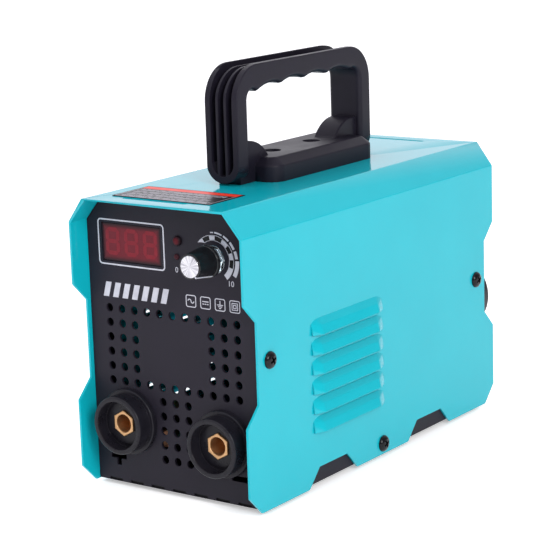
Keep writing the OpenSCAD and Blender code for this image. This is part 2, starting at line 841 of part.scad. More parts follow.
rim_chamfer = 1;
hex_l = 3;
module socket_body() {
    difference() {
        union() {
            cone_y(socket_rim_d - 2 * rim_chamfer, socket_rim_d, -socket_reach, rim_chamfer - socket_reach);
            rod_y(socket_rim_d, rim_chamfer - socket_reach, -socket_flange_t);
            rod_y(socket_flange_d, -socket_flange_t, 0);
            rod_y(barrel_d, 0, barrel_l);
        }
        rod_y(cup_d, -socket_reach - past, cup_depth - socket_reach);
        hex_y(insert_af + 2 * seat_gap, -socket_reach, hex_l);
        rod_y(insert_af + 2 * seat_gap, 0, barrel_l + past);
    }
}

insert_front = insert_sink - socket_reach;
stud_end = 2;
insert_shoulder = barrel_l + stud_end;
mouth_chamfer = 0.6;
module socket_insert() {
    difference() {
        union() {
            hex_y(insert_af, insert_front, hex_l - seat_gap);
            rod_y(insert_af, 0, insert_shoulder);
            rod_y(stud_d, 0, insert_shoulder + bar_t + stud_nut_h + stud_end);
        }
        rod_y(pin_bore_d, insert_front - past, insert_front + pin_bore_l);
        cone_y(pin_bore_d + 2 * mouth_chamfer, pin_bore_d, insert_front, insert_front + mouth_chamfer);
    }
}

locknut_t = 5;
module socket_locknut() {
    difference() {
        hex_y(1.25 * barrel_d, panel_t, panel_t + locknut_t);
        rod_y(barrel_d + 2 * seat_gap, panel_t - past, panel_t + locknut_t + past);
    }
}

module at_socket(side) stand() translate([side * socket_x, front_y, socket_height(side)]) children();
module positive_socket_body() color(black) at_socket(-1) socket_body();
module negative_socket_body() color(black) at_socket(1) socket_body();
module positive_socket_insert() color(brass) at_socket(-1) socket_insert();
module negative_socket_insert() color(brass) at_socket(1) socket_insert();
module positive_socket_locknut() color(black) at_socket(-1) socket_locknut();
module negative_socket_locknut() color(black) at_socket(1) socket_locknut();

// Copper bars from the sockets' studs to the main board
stud_nut_h = 6;
bar_y = front_y + insert_shoulder;
bar_head = 9;
module busbar(side) color(copper) stand() translate([side * socket_x, 0, 0]) difference() {
    union() {
        block([-bar_w / 2, bar_y, board_top], [bar_w / 2, bar_y + bar_t, socket_height(side) + bar_head]);
        block([-bar_w / 2, bar_y, board_top], [bar_w / 2, board_y + bar_foot_l, board_top + bar_t]);
    }
    translate([0, 0, socket_height(side)]) rod_y(stud_d + 2 * seat_gap, bar_y - past, bar_y + bar_t + past);
}
module positive_busbar() busbar(-1);
module negative_busbar() busbar(1);

module busbar_nuts() color(brass) for (side = [-1, 1]) at_socket(side) difference() {
    hex_y(1.6 * stud_d, insert_shoulder + bar_t, insert_shoulder + bar_t + stud_nut_h);
    rod_y(stud_d + 2 * seat_gap, insert_shoulder, insert_shoulder + bar_t + stud_nut_h + past);
}

// The display, the lamps and the current control

window_sink = 0.3;
module display_window() color("#7a2a33") stand() at_window() {
    along_y(front_y + window_sink, front_inner) square([window_w, window_h], center = true);
}

module_margin = 1.6;
module display_module() color(black) stand() at_window() {
    along_y(front_inner, control_y)
        square([window_w + 2 * module_margin, window_h + 2 * module_margin], center = true);
}

// A round lamp with its two legs back to the control board
leg_t = 0.6;
lamp_rise = 0.6;
module lamp(d) {
    rod_y(d, front_y - lamp_rise, front_inner + d);
    intersection() {
        translate([0, front_y - lamp_rise, 0]) sphere(d = d);
        rod_y(d, front_y - lamp_rise - d, front_y);
    }
    for (side = [-1, 1]) translate([side * d / 4, 0, 0]) rod_y(leg_t, front_inner, control_y);
}
module power_led() color("#6d2b30") stand() translate([power_led_x, 0, power_led_z]) lamp(power_led_d);
module fault_led() color("#4a262b") stand() translate([fault_led_x, 0, fault_led_z]) lamp(fault_led_d);

// Depths from the panel's outer face forward
pot_washer_t = 1;
pot_nut_t = 3;
bush_end = 0.5;
bush_reach = pot_washer_t + pot_nut_t + bush_end;
knob_clear = 1;
knob_back = bush_reach + knob_clear;
skirt_t = 2;
skirt_step = 0.5;
cap_t = 0.8;
cap_stand = 0.3;
shaft_end = 4;
shaft_front = knob_reach - shaft_end;
shaft_rear = panel_t + shaft_end;

module current_knob() color(black) stand() translate([0, front_y, 0]) at_knob() difference() {
    union() {
        rod_y(knob_skirt_d, -knob_back - skirt_t, -knob_back);
        cone_y(knob_front_d, knob_skirt_d - 2 * skirt_step, cap_stand - knob_reach, -knob_back - skirt_t);
    }
    rod_y(shaft_d + seat_gap, -shaft_front - seat_gap, past - knob_back);
    rod_y(cap_d + seat_gap, -knob_reach - past, cap_t - knob_reach);
}

module knob_cap() color(steel) stand() translate([0, front_y, 0]) at_knob() {
    rod_y(cap_d, -knob_reach, cap_t - knob_reach);
}

module control_shaft() color(steel) stand() translate([0, front_y, 0]) at_knob() {
    rod_y(shaft_d, -shaft_front, shaft_rear);
}

module potentiometer() color("#7b7f86") stand() translate([0, front_y, 0]) at_knob() difference() {
    union() {
        rod_y(pot_d, panel_t, control_y - front_y);
        rod_y(bush_d, -bush_reach, panel_t);
    }
    rod_y(shaft_d + 2 * shaft_gap, -bush_reach - past, shaft_rear + chassis_gap);
}

module potentiometer_nut() color(steel) stand() translate([0, front_y, 0]) at_knob() difference() {
    union() {
        rod_y(pot_washer_d, -pot_washer_t, 0);
        hex_y(1.35 * bush_d, -pot_washer_t - pot_nut_t, -pot_washer_t);
    }
    rod_y(bush_d + 2 * seat_gap, -pot_washer_t - pot_nut_t - past, past);
}

module control_board() color(board_green) stand() {
    block([-control_w / 2, control_y, control_top - control_h],
        [control_w / 2, control_y + board_t, control_top]);
}

// The main board and what stands on it

standoff_af = 5.5;
standoff_hole_d = 2.8;
standoff_edge = 5;
board_screw_head_h = 2;
// From the front, the bars' feet, the rectifier, the transformer and the heat sinks follow each other
part_gap = 1;
bar_foot_l = 12;
rectifier_w = 28;
wind_over = 7;
rectifier_y = board_y + bar_foot_l + part_gap;
core_y = rectifier_y + rectifier_w + part_gap + wind_over + core_d / 2;
sink_y = core_y + core_d / 2 + wind_over + part_gap;
sink_l = board_y + board_l - part_gap - sink_y;
module at_standoffs() {
    first = board_y + standoff_edge;
    last = board_y + board_l - standoff_edge;
    for (x = [-1, 1], y = [first, (first + last) / 2, last])
        translate([x * (board_w / 2 - standoff_edge), y, 0]) children();
}

module main_board() color(board_green) stand() difference() {
    block([-board_w / 2, board_y, board_z], [board_w / 2, board_y + board_l, board_top]);
    at_standoffs() rod_z(standoff_hole_d + 2 * seat_gap, board_z - past, board_top + past);
}

module board_standoffs() color(brass) stand() at_standoffs() difference() {
    hex_z(standoff_af, tray_top, board_z);
    rod_z(standoff_hole_d, tray_top + past, board_z + past);
}

module board_screws() color(steel) stand() at_standoffs() translate([0, 0, board_top]) {
    pan_screw(standoff_af, board_screw_head_h, standoff_hole_d - seat_gap, board_t + standoff_h / 2);
}

module heat_sink() {
    back = sink_space / 2;
    rise = (sink_h - fin_t) / (fin_count - 1);
    block([back, sink_y, board_top], [back + sink_back, sink_y + sink_l, board_top + sink_h]);
    for (i = [0:fin_count - 1])
        translate([0, 0, board_top + i * rise])
            block([back, sink_y, 0], [back + sink_w, sink_y + sink_l, fin_t]);
}
module heat_sink_right() color(steel) stand() heat_sink();
module heat_sink_left() color(steel) stand() mirror([1, 0, 0]) heat_sink();

// A row of flat power devices against the right heat sink's back, with their legs in the board
device_pitch = 14;
device_t = 5;
device_w = 12;
device_h = 20;
device_leg = 8;
device_leg_w = 1.2;
device_leg_pitch = 4;
module power_devices() {
    face = sink_space / 2;
    count = floor(sink_l / device_pitch);
    for (i = [0:count - 1]) translate([0, sink_y + (i + 0.5) * device_pitch, board_top]) {
        block([face - device_t, -device_w / 2, device_leg], [face, device_w / 2, device_leg + device_h]);
        for (leg = [-1:1]) translate([face - device_t / 2, leg * device_leg_pitch, 0])
            block([-device_leg_w / 2, -device_leg_w / 2, 0], [device_leg_w / 2, device_leg_w / 2, device_leg]);
    }
}
module output_diodes() color(black) stand() power_devices();
module power_transistors() color(black) stand() mirror([1, 0, 0]) power_devices();

// The transformer: a core with two windows, and the winding round its middle leg
leg_w = 12;
yoke_t = 6;
core_wall = 6;
module at_core() translate([0, core_y, board_top]) children();

module transformer_core() color("#3b3b3d") stand() at_core() along_y(-core_d / 2, core_d / 2) difference() {
    translate([-core_w / 2, 0]) square([core_w, core_h]);
    for (side = [0, 1]) mirror([side, 0])
        translate([leg_w / 2, yoke_t]) square([core_w / 2 - leg_w / 2 - core_wall, core_h - 2 * yoke_t]);
}

module transformer_winding() color("#c98f3f") stand() at_core() difference() {
    outer_x = core_w / 2 - core_wall - seat_gap;
    outer_y = core_d / 2 + wind_over;
    block([-outer_x, -outer_y, yoke_t], [outer_x, outer_y, core_h - yoke_t]);
    block([-leg_w / 2 - seat_gap, -core_d / 2 - seat_gap, yoke_t - past],
        [leg_w / 2 + seat_gap, core_d / 2 + seat_gap, core_h]);
}

can_x = core_w / 2 + part_gap + cap_can_d / 2;
module bus_capacitors() color("#2a3550") stand() {
    first = board_y + bar_foot_l + part_gap + cap_can_d / 2;
    for (i = [0:1]) translate([can_x, first + i * (cap_can_d + part_gap), 0])
        rod_z(cap_can_d, board_top, board_top + cap_can_h);
}

rectifier_h = 9;
module bridge_rectifier() color("#2b2b2e") stand() translate([-socket_x, rectifier_y, board_top]) {
    block([-rectifier_w / 2, 0, 0], [rectifier_w / 2, rectifier_w, rectifier_h]);
}

relay_l = 24;
relay_w = 12;
relay_h = 16;
module soft_start_relay() color("#26324d") stand() {
    translate([-core_w / 2 - part_gap - relay_w, rectifier_y + rectifier_w + part_gap, board_top])
        cube([relay_w, relay_l, relay_h]);
}

// The fan and its guard, drawn about the fan's axis

fan_screw_d = 3.6;
spider_t = 3;
hub_gap = 0.6;
spoke_w = 3;
hub_sink = 4;
hub_rear = rear_inner - hub_sink;
axle_end = hub_rear - hub_sink;
module fan_frame() color(black) stand() at_fan() {
    difference() {
        along_y(fan_front, rear_inner) round_rect(fan_w, fan_w, spoke_w);
        rod_y(duct_d, fan_front - past, rear_inner + past);
        at_fan_screws() rod_y(fan_screw_d + seat_gap, fan_front - past, rear_inner + past);
    }
    rod_y(hub_d, fan_front, fan_front + spider_t);
    for (turn = [45, 135]) rotate([0, turn, 0])
        block([-fan_w / 2, fan_front, -spoke_w / 2], [fan_w / 2, fan_front + spider_t, spoke_w / 2]);
    rod_y(axle_d, fan_front, axle_end);
}

blade_t = 1.4;
module fan_rotor() color("#232327") stand() at_fan() difference() {
    front = fan_front + spider_t + hub_gap;
    centre = (front + hub_rear) / 2;
    span = hub_rear - front;
    union() {
        rod_y(hub_d, front, hub_rear);
        intersection() {
            rod_y(duct_d - 2 * tip_gap, front, hub_rear);
            for (i = [0:blade_count - 1]) rotate([0, i * 360 / blade_count, 0])
                translate([0, centre, 0]) rotate([0, 0, blade_pitch])
                    block([-blade_t / 2, -span, 0], [blade_t / 2, span, duct_d / 2]);
        }
    }
    rod_y(axle_d + 2 * shaft_gap, front - past, axle_end + hub_gap);
}

eyelet_d = 8;
module fan_guard() color(steel) stand() at_fan() along_y(rear_y, rear_y + wire_d) difference() {
    union() {
        for (i = [1:ring_count]) difference() {
            ring_r = i * (duct_d / 2 - wire_d) / ring_count;
            circle(ring_r + wire_d / 2);
            circle(ring_r - wire_d / 2);
        }
        for (turn = [45, 135]) rotate(turn) square([sqrt(2) * fan_screw_spacing, wire_d], center = true);
        for (x = [-1, 1], y = [-1, 1]) translate([x, y] * fan_screw_spacing / 2) circle(d = eyelet_d);
    }
    for (x = [-1, 1], y = [-1, 1]) translate([x, y] * fan_screw_spacing / 2)
        circle(d = fan_screw_d + 2 * screw_gap);
}

fan_screw_head_h = 2;
module fan_screws() color(steel) stand() at_fan() at_fan_screws() {
    translate([0, rear_y + wire_d, 0]) rotate([-90, 0, 0])
        pan_screw(eyelet_d - past, fan_screw_head_h, fan_screw_d, wire_d + panel_t + fan_t / 2);
}

// The power switch, drawn about the rocker's pivot

pivot_sink = 3;
pivot_y = rear_y - pivot_sink;
pivot_reach = switch_w / 2 - seat_gap;
module at_switch() stand() translate([0, 0, switch_z]) children();

module power_switch_housing() color(black) at_switch() difference() {
    union() {
        along_y(rear_y - switch_depth, rear_y) square([switch_w, switch_h], center = true);
        along_y(rear_y, rear_y + bezel_t) square([bezel_w, bezel_h], center = true);
    }
    translate([0, pivot_y, 0]) {
        rod_x(2 * (rocker_r + rocker_gap), -rocker_w / 2 - rocker_gap, rocker_w / 2 + rocker_gap);
        rod_x(pivot_d + 2 * shaft_gap, -switch_w, switch_w);
    }
}

roof_ridge = 7.5;
module power_switch_rocker() color("#8e1f22") at_switch() {
    edge = roof_ridge - rocker_r * tan(rocker_tilt);
    translate([0, pivot_y, 0]) rotate([-rocker_tilt, 0, 0]) {
        intersection() {
            rod_x(2 * rocker_r, -rocker_w / 2, rocker_w / 2);
            along_x(-rocker_w, rocker_w) polygon([
                [-pivot_d, -rocker_r], [edge, -rocker_r], [roof_ridge, 0],
                [edge, rocker_r], [-pivot_d, rocker_r]]);
        }
        rod_x(pivot_d, -pivot_reach, pivot_reach);
    }
}

// The cable gland, drawn about its axis with y = 0 on the rear panel's outer face

gland_thread_l = 14;
gland_nose = 4.3;
gland_locknut_t = 5;
gland_step = 3;
thread_step = 2;
gland_mouth_d = cable_bore_d + 2 * gland_step;
gland_spigot_d = gland_thread_d - 2 * thread_step;
module at_gland() stand() translate([gland_x, rear_y, gland_z]) children();

module cable_gland_body() color(black) at_gland() difference() {
    union() {
        rod_y(gland_thread_d, -gland_thread_l, gland_collar_t);
        rod_y(gland_collar_d, 0, gland_collar_t);
        rod_y(gland_spigot_d, 0, gland_reach - gland_nose - past);
    }
    rod_y(cable_bore_d, -gland_thread_l - past, gland_reach);
}

module cable_gland_nut() color(black) at_gland() difference() {
    union() {
        rod_y(gland_d, gland_collar_t, gland_reach - gland_nose);
        cone_y(gland_d, gland_d - 3 * gland_nose, gland_reach - gland_nose, gland_reach);
    }
    rod_y(gland_spigot_d + 2 * seat_gap, gland_collar_t - past, gland_reach - gland_nose - past + seat_gap);
    rod_y(gland_mouth_d, 0, gland_reach + past);
}

module cable_gland_locknut() color(black) at_gland() difference() {
    rotate([0, 30, 0]) hex_y(1.15 * gland_thread_d, -panel_t - gland_locknut_t, -panel_t);
    rod_y(gland_thread_d + 2 * seat_gap, -panel_t - gland_locknut_t - past, -panel_t + past);
}

cover();
cover_screws();
base_tray();
front_panel();
rear_panel();
panel_screws();
rubber_feet();
foot_screws();
handle();
handle_grip();
handle_screws();
handle_nuts();
top_label();
positive_socket_body();
positive_socket_insert();
positive_socket_locknut();
negative_socket_body();
negative_socket_insert();
negative_socket_locknut();
positive_busbar();
negative_busbar();
busbar_nuts();
display_window();
display_module();
power_led();
fault_led();
current_knob();
knob_cap();
control_shaft();
potentiometer();
potentiometer_nut();
control_board();
main_board();
board_standoffs();
board_screws();
heat_sink_left();
heat_sink_right();
power_transistors();
output_diodes();
transformer_core();
transformer_winding();
bus_capacitors();
bridge_rectifier();
soft_start_relay();
fan_frame();
fan_rotor();
fan_guard();
fan_screws();
power_switch_housing();
power_switch_rocker();
cable_gland_body();
cable_gland_nut();
cable_gland_locknut();
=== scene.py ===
"""Looks of a stick welding inverter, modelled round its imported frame. Everything is in metres."""

import json
import math

import bmesh
import bpy
from mathutils import Matrix, Vector


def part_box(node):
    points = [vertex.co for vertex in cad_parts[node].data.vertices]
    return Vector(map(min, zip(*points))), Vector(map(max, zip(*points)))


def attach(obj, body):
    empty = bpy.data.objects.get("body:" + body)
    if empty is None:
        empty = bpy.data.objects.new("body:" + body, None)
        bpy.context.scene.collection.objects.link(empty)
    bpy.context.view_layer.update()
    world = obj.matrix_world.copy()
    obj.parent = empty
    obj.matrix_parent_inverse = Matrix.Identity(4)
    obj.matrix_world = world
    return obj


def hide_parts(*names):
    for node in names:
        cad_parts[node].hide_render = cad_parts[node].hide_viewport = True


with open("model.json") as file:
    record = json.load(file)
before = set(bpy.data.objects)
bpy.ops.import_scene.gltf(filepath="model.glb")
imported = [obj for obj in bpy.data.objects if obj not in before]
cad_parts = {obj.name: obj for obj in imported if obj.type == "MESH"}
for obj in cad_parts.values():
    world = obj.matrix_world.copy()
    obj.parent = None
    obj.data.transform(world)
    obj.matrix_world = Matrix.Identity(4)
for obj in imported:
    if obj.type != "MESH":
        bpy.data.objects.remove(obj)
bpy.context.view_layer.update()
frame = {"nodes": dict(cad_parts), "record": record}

mm = 0.001
near = 0.02 * mm
quarter = math.pi / 2


# How a piece is modelled


def alone(piece=None):
    """Leaves edit mode, deselects everything and selects this piece alone."""
    if bpy.context.mode != "OBJECT":
        bpy.ops.object.mode_set(mode="OBJECT")
    bpy.ops.object.select_all(action="DESELECT")
    if piece is not None:
        piece.select_set(True)
    bpy.context.view_layer.objects.active = piece


def settle(name):
    """Puts a new primitive's place into its mesh and names it."""
    bpy.ops.object.transform_apply(location=True, rotation=True, scale=True)
    piece = bpy.context.object
    piece.name = piece.data.name = name
    return piece


def block(name, low, high):
    """A box from its low corner to its high corner."""
    alone()
    low, high = Vector(low), Vector(high)
    bpy.ops.mesh.primitive_cube_add(size=1, location=(low + high) / 2)
    bpy.context.object.scale = high - low
    return settle(name)


def rod(name, axis, centre, radius, low, high, sides=64):
    """A round or many-sided rod along x, y or z."""
    alone()
    place = Vector(centre)
    place["xyz".index(axis)] = (low + high) / 2
    turn = {"x": (0, quarter, 0), "y": (quarter, 0, 0), "z": (0, 0, 0)}[axis]
    bpy.ops.mesh.primitive_cylinder_add(
        vertices=sides, radius=radius, depth=high - low, location=place, rotation=turn)
    return settle(name)


def edit(piece, kind, test):
    """Opens a piece in edit mode with the faces, edges or points that pass the test selected."""
    alone(piece)
    bpy.ops.object.mode_set(mode="EDIT")
    bpy.ops.mesh.select_mode(type=kind)
    bpy.ops.mesh.select_all(action="DESELECT")
    net = bmesh.from_edit_mesh(piece.data)
    if kind == "FACE":
        chosen = [face for face in net.faces if test(face.calc_center_median(), face.normal)]
    elif kind == "EDGE":
        chosen = [edge for edge in net.edges if test(edge.verts[0].co, edge.verts[1].co)]
    else:
        chosen = [point for point in net.verts if test(point.co)]
    for part in chosen:
        part.select_set(True)
    net.select_flush_mode()
    bmesh.update_edit_mesh(piece.data)


def draw_out(x=0.0, y=0.0, z=0.0):
    """Extrudes the selection by a step."""
    bpy.ops.mesh.extrude_region_move(TRANSFORM_OT_translate={"value": (x, y, z)})


def swing(angle, centre, axis, steps=12):
    """Draws the selection out round an axis, the right-handed way."""
    bpy.ops.mesh.spin(steps=steps, angle=-angle, center=centre, axis=axis)


def round_edges(piece, test, width, segments):
    """Rounds the edges that pass the test."""
    edit(piece, "EDGE", test)
    bpy.ops.mesh.bevel(offset=width, segments=segments, profile=0.5, affect="EDGES", clamp_overlap=True)
    alone(piece)


def every(*_):
    """A test that every face, edge and point passes."""
    return True


def facing(x=0, y=0, z=0):
    """A test for the faces that look one way."""
    way, straight = Vector((x, y, z)), 0.9
    return lambda centre, normal: normal.dot(way) > straight


def upright(a, b):
    """An edge that stands square on the panels."""
    return abs(a.x - b.x) < near and abs(a.z - b.z) < near


def away_from(axis, p):
    """How far a point is from an axis that stands square on the panels."""
    return math.hypot(p.x - axis.x, p.z - axis.z)


def ring(axis, y, radius):
    """A test for the edges of a ring about an axis that stands square on the panels."""
    spread_r = 0.1 * mm

    def on_ring(p):
        return abs(p.y - y) < near and abs(away_from(axis, p) - radius) < spread_r

    return lambda a, b: on_ring(a) and on_ring(b)


def carve(piece, tool, how="DIFFERENCE"):
    """Cuts a piece with a tool, joins them or keeps what they share, and takes the tool away."""
    alone(piece)
    bpy.ops.object.modifier_add(type="BOOLEAN")
    step = piece.modifiers[-1]
    step.operation = how
    step.solver = "EXACT"
    step.object = tool
    bpy.ops.object.modifier_apply(modifier=step.name)
    bpy.data.objects.remove(tool)
    return piece


def again(piece, name, shift):
    """A copy of a piece with its own mesh, moved by shift."""
    alone(piece)
    bpy.ops.object.duplicate()
    bpy.ops.transform.translate(value=shift)
    return settle(name)


def turned(piece, angle, centre, axis=(0, 1, 0)):
    """Turns a piece's mesh about a centre, the right-handed way."""
    alone(piece)
    there = Matrix.Translation(centre)
    piece.data.transform(there @ Matrix.Rotation(angle, 4, Vector(axis)) @ there.inverted())
    return piece


def merged_copy(part, name):
    """A copy of a frame node with its points merged and its flat faces made whole."""
    piece = bpy.data.objects.new(name, frame["nodes"][part].data.copy())
    piece.data.name = name
    bpy.context.scene.collection.objects.link(piece)
    edit(piece, "VERT", every)
    bpy.ops.mesh.remove_doubles(threshold=0.001 * mm)
    bpy.ops.mesh.dissolve_limited(angle_limit=math.radians(0.3))
    alone(piece)
    return piece


def smooth(piece, angle):
    """Closes the seams, turns the faces outwards and shades round surfaces smooth."""
    edit(piece, "VERT", every)
    bpy.ops.mesh.remove_doubles(threshold=0.002 * mm)
    bpy.ops.mesh.normals_make_consistent(inside=False)
    alone(piece)
    bpy.ops.object.shade_smooth_by_angle(angle=math.radians(angle))
    bpy.ops.object.modifier_add(type="WEIGHTED_NORMAL")
    step = piece.modifiers[-1]
    step.keep_sharp = True
    bpy.ops.object.modifier_apply(modifier=step.name)
    return piece


def wear(mesh, look):
    """Gives a mesh one finish all over."""
    mesh.materials.clear()
    mesh.materials.append(look)


def fit(piece, look, slot, body="case", *nodes):
    """Gives a piece its finish and the body that it rides on, and hides the nodes that it stands for. The
    slot is not used.
    """
    wear(piece.data, look)
    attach(piece, body)
    if nodes:
        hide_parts(*nodes)
    return piece


# How a finish is made


def node(tree, kind, inputs=None, **settings):
    """Adds a shader node, with its settings, and its inputs as numbers or links."""
    new = tree.nodes.new("ShaderNode" + kind)
    for key, value in settings.items():
        setattr(new, key, value)
    for key, value in (inputs or {}).items():
        if isinstance(value, bpy.types.NodeSocket):
            tree.links.new(value, new.inputs[key])
        else:
            new.inputs[key].default_value = value
    return new


def mixed(tree, share, one, other):
    """A colour between two others."""
    new = node(tree, "Mix", data_type="RGBA")
    for index, value in ((0, share), (6, one), (7, other)):
        if isinstance(value, bpy.types.NodeSocket):
            tree.links.new(value, new.inputs[index])
        elif index == 0:
            new.inputs[0].default_value = value
        else:
            new.inputs[index].default_value = (*value, 1)
    return new.outputs[2]


def sums(tree, how, one, other=0.0):
    """A sum of one or two values."""
    return node(tree, "Math", {0: one, 1: other}, operation=how).outputs[0]


def both(tree, one, other):
    """One where two patterns overlap, and nought elsewhere."""
    return sums(tree, "MULTIPLY", one, other)


def between(tree, value, low, high):
    """One where a value lies between two limits, and nought elsewhere."""
    return both(tree, sums(tree, "GREATER_THAN", value, low), sums(tree, "LESS_THAN", value, high))


def field(tree, x, y, low, high):
    """One inside a rectangle from its low corner to its high corner, and nought elsewhere."""
    return both(tree, between(tree, x, low[0], high[0]), between(tree, y, low[1], high[1]))


def spread(tree, value, low, high, first=0.0, last=1.0, how="LINEAR"):
    """A value's way from one limit to another, spread over a new range."""
    limits = {0: value, 1: low, 2: high, 3: first, 4: last}
    return node(tree, "MapRange", limits, interpolation_type=how).outputs[0]


def speckle(tree, place, size, detail, rough=0.5):
    """A noise with patches of about this size."""
    settings = {"Vector": place, "Scale": 1 / size, "Detail": detail, "Roughness": rough}
    return node(tree, "TexNoise", settings).outputs[0]


def finish(name, dark, light, rough, grain, depth, patch, edge, metal=0.0, shine=0.5):
    """A finish that drifts between two colours and two roughnesses, with a fine grain and soft edges."""
    look = bpy.data.materials.new(name)
    look.use_nodes = True
    tree = look.node_tree
    shader = tree.nodes["Principled BSDF"]
    shader.inputs["Metallic"].default_value = metal
    shader.inputs["Specular IOR Level"].default_value = shine
    place = node(tree, "TexCoord").outputs["Object"]
    drift = speckle(tree, place, patch, 4.0, 0.6)
    drift_low, drift_high = 0.3, 0.7
    colour = mixed(tree, spread(tree, drift, drift_low, drift_high), dark, light)
    tree.links.new(colour, shader.inputs["Base Color"])
    tone = spread(tree, drift, drift_low, drift_high, rough[0], rough[1])
    tree.links.new(tone, shader.inputs["Roughness"])
    fine = speckle(tree, place, grain, 2.0)
    soft = node(tree, "Bevel", {"Radius": edge}, samples=4).outputs[0]
    bump = node(tree, "Bump", {"Strength": 0.6, "Distance": depth, "Height": fine, "Normal": soft})
    tree.links.new(bump.outputs[0], shader.inputs["Normal"])
    return look


def drawn_on(look):
    """A finish's tree, shader, place and colour, for a pattern that is drawn on it."""
    tree = look.node_tree
    shader = tree.nodes["Principled BSDF"]
    place = next(part for part in tree.nodes if part.type == "TEX_COORD").outputs["Object"]
    return tree, shader, place, shader.inputs["Base Color"].links[0].from_socket


# The finishes

teal_coat = finish(
    "teal_powder_coat", dark=(0.003, 0.400, 0.480), light=(0.005, 0.425, 0.505), rough=(0.08, 0.12),
    grain=0.9 * mm, depth=0.004 * mm, patch=60 * mm, edge=0.35 * mm, shine=0.30)
dark_coat = finish(
    "dark_powder_coat", dark=(0.0105, 0.0090, 0.0155), light=(0.0155, 0.0130, 0.0215), rough=(0.50, 0.62),
    grain=0.35 * mm, depth=0.03 * mm, patch=35 * mm, edge=0.3 * mm, shine=0.20)
grip_plastic = finish(
    "moulded_black_plastic", dark=(0.0095, 0.0083, 0.0145), light=(0.0135, 0.0116, 0.020), rough=(0.36, 0.46),
    grain=0.25 * mm, depth=0.012 * mm, patch=15 * mm, edge=0.5 * mm, shine=0.16)
socket_plastic = finish(
    "socket_plastic", dark=(0.008, 0.0075, 0.011), light=(0.013, 0.012, 0.017), rough=(0.24, 0.36),
    grain=0.4 * mm, depth=0.01 * mm, patch=8 * mm, edge=0.4 * mm, shine=0.20)
knob_gloss = finish(
    "knob_gloss_plastic", dark=(0.006, 0.006, 0.007), light=(0.010, 0.010, 0.012), rough=(0.18, 0.28),
    grain=0.3 * mm, depth=0.004 * mm, patch=5 * mm, edge=0.3 * mm, shine=0.36)
screw_black = finish(
    "black_oxide_steel", dark=(0.003, 0.003, 0.004), light=(0.006, 0.006, 0.008), rough=(0.14, 0.22),
    grain=0.3 * mm, depth=0.006 * mm, patch=2 * mm, edge=0.25 * mm, shine=0.26)
zinc = finish(
    "zinc_plate", dark=(0.44, 0.46, 0.49), light=(0.60, 0.62, 0.64), rough=(0.18, 0.34),
    grain=0.3 * mm, depth=0.01 * mm, patch=4 * mm, edge=0.2 * mm, metal=1.0)
cap_silver = finish(
    "turned_silver_painted_rays", dark=(0.80, 0.80, 0.83), light=(0.93, 0.93, 0.95), rough=(0.22, 0.34),
    grain=0.25 * mm, depth=0.006 * mm, patch=3 * mm, edge=0.15 * mm, metal=1.0)
brass_turned = finish(
    "turned_brass", dark=(0.52, 0.30, 0.14), light=(0.64, 0.39, 0.20), rough=(0.32, 0.46),
    grain=0.2 * mm, depth=0.01 * mm, patch=3 * mm, edge=0.3 * mm, metal=0.85)
copper_strip = finish(
    "rolled_copper", dark=(0.62, 0.30, 0.17), light=(0.78, 0.42, 0.26), rough=(0.26, 0.44),
    grain=0.3 * mm, depth=0.01 * mm, patch=8 * mm, edge=0.3 * mm, metal=1.0)
rubber_foot = finish(
    "black_rubber", dark=(0.014, 0.014, 0.014), light=(0.024, 0.024, 0.024), rough=(0.70, 0.85),
    grain=0.5 * mm, depth=0.03 * mm, patch=5 * mm, edge=0.6 * mm, shine=0.3)
red_filter = finish(
    "red_window_plastic", dark=(0.112, 0.008, 0.016), light=(0.128, 0.011, 0.020), rough=(0.05, 0.09),
    grain=2 * mm, depth=0.002 * mm, patch=15 * mm, edge=0.4 * mm, shine=0.15)
red_lens = finish(
    "red_lamp_plastic", dark=(0.070, 0.007, 0.012), light=(0.088, 0.010, 0.016), rough=(0.45, 0.55),
    grain=0.4 * mm, depth=0.004 * mm, patch=2 * mm, edge=0.3 * mm, shine=0.1)
dark_lens = finish(
    "dark_lamp_plastic", dark=(0.034, 0.008, 0.012), light=(0.044, 0.011, 0.016), rough=(0.45, 0.55),
    grain=0.4 * mm, depth=0.004 * mm, patch=2 * mm, edge=0.3 * mm, shine=0.1)
bright_nickel = finish(
    "nickel_plate", dark=(0.80, 0.89, 0.94), light=(0.88, 0.95, 0.99), rough=(0.06, 0.12),
    grain=0.3 * mm, depth=0.003 * mm, patch=3 * mm, edge=0.25 * mm, metal=1.0)
label_film = finish(
    "printed_label_film", dark=(0.012, 0.011, 0.014), light=(0.018, 0.016, 0.020), rough=(0.30, 0.40),
    grain=0.5 * mm, depth=0.003 * mm, patch=12 * mm, edge=0.1 * mm, shine=0.16)
board_mask = finish(
    "green_solder_mask", dark=(0.010, 0.110, 0.040), light=(0.018, 0.160, 0.060), rough=(0.25, 0.40),
    grain=0.8 * mm, depth=0.02 * mm, patch=9 * mm, edge=0.2 * mm)
resin_black = finish(
    "moulded_resin", dark=(0.014, 0.014, 0.015), light=(0.022, 0.022, 0.023), rough=(0.45, 0.60),
    grain=0.3 * mm, depth=0.02 * mm, patch=10 * mm, edge=0.4 * mm, shine=0.4)
sink_metal = finish(
    "extruded_aluminium", dark=(0.62, 0.63, 0.65), light=(0.76, 0.77, 0.79), rough=(0.28, 0.42),
    grain=0.4 * mm, depth=0.01 * mm, patch=12 * mm, edge=0.2 * mm, metal=1.0)
ferrite_grey = finish(
    "sintered_ferrite", dark=(0.030, 0.030, 0.031), light=(0.055, 0.054, 0.054), rough=(0.60, 0.75),
    grain=0.3 * mm, depth=0.03 * mm, patch=6 * mm, edge=0.5 * mm, shine=0.35)
wire_varnish = finish(
    "varnished_winding", dark=(0.42, 0.17, 0.05), light=(0.58, 0.27, 0.09), rough=(0.20, 0.35),
    grain=0.8 * mm, depth=0.08 * mm, patch=3 * mm, edge=0.4 * mm, metal=0.8)
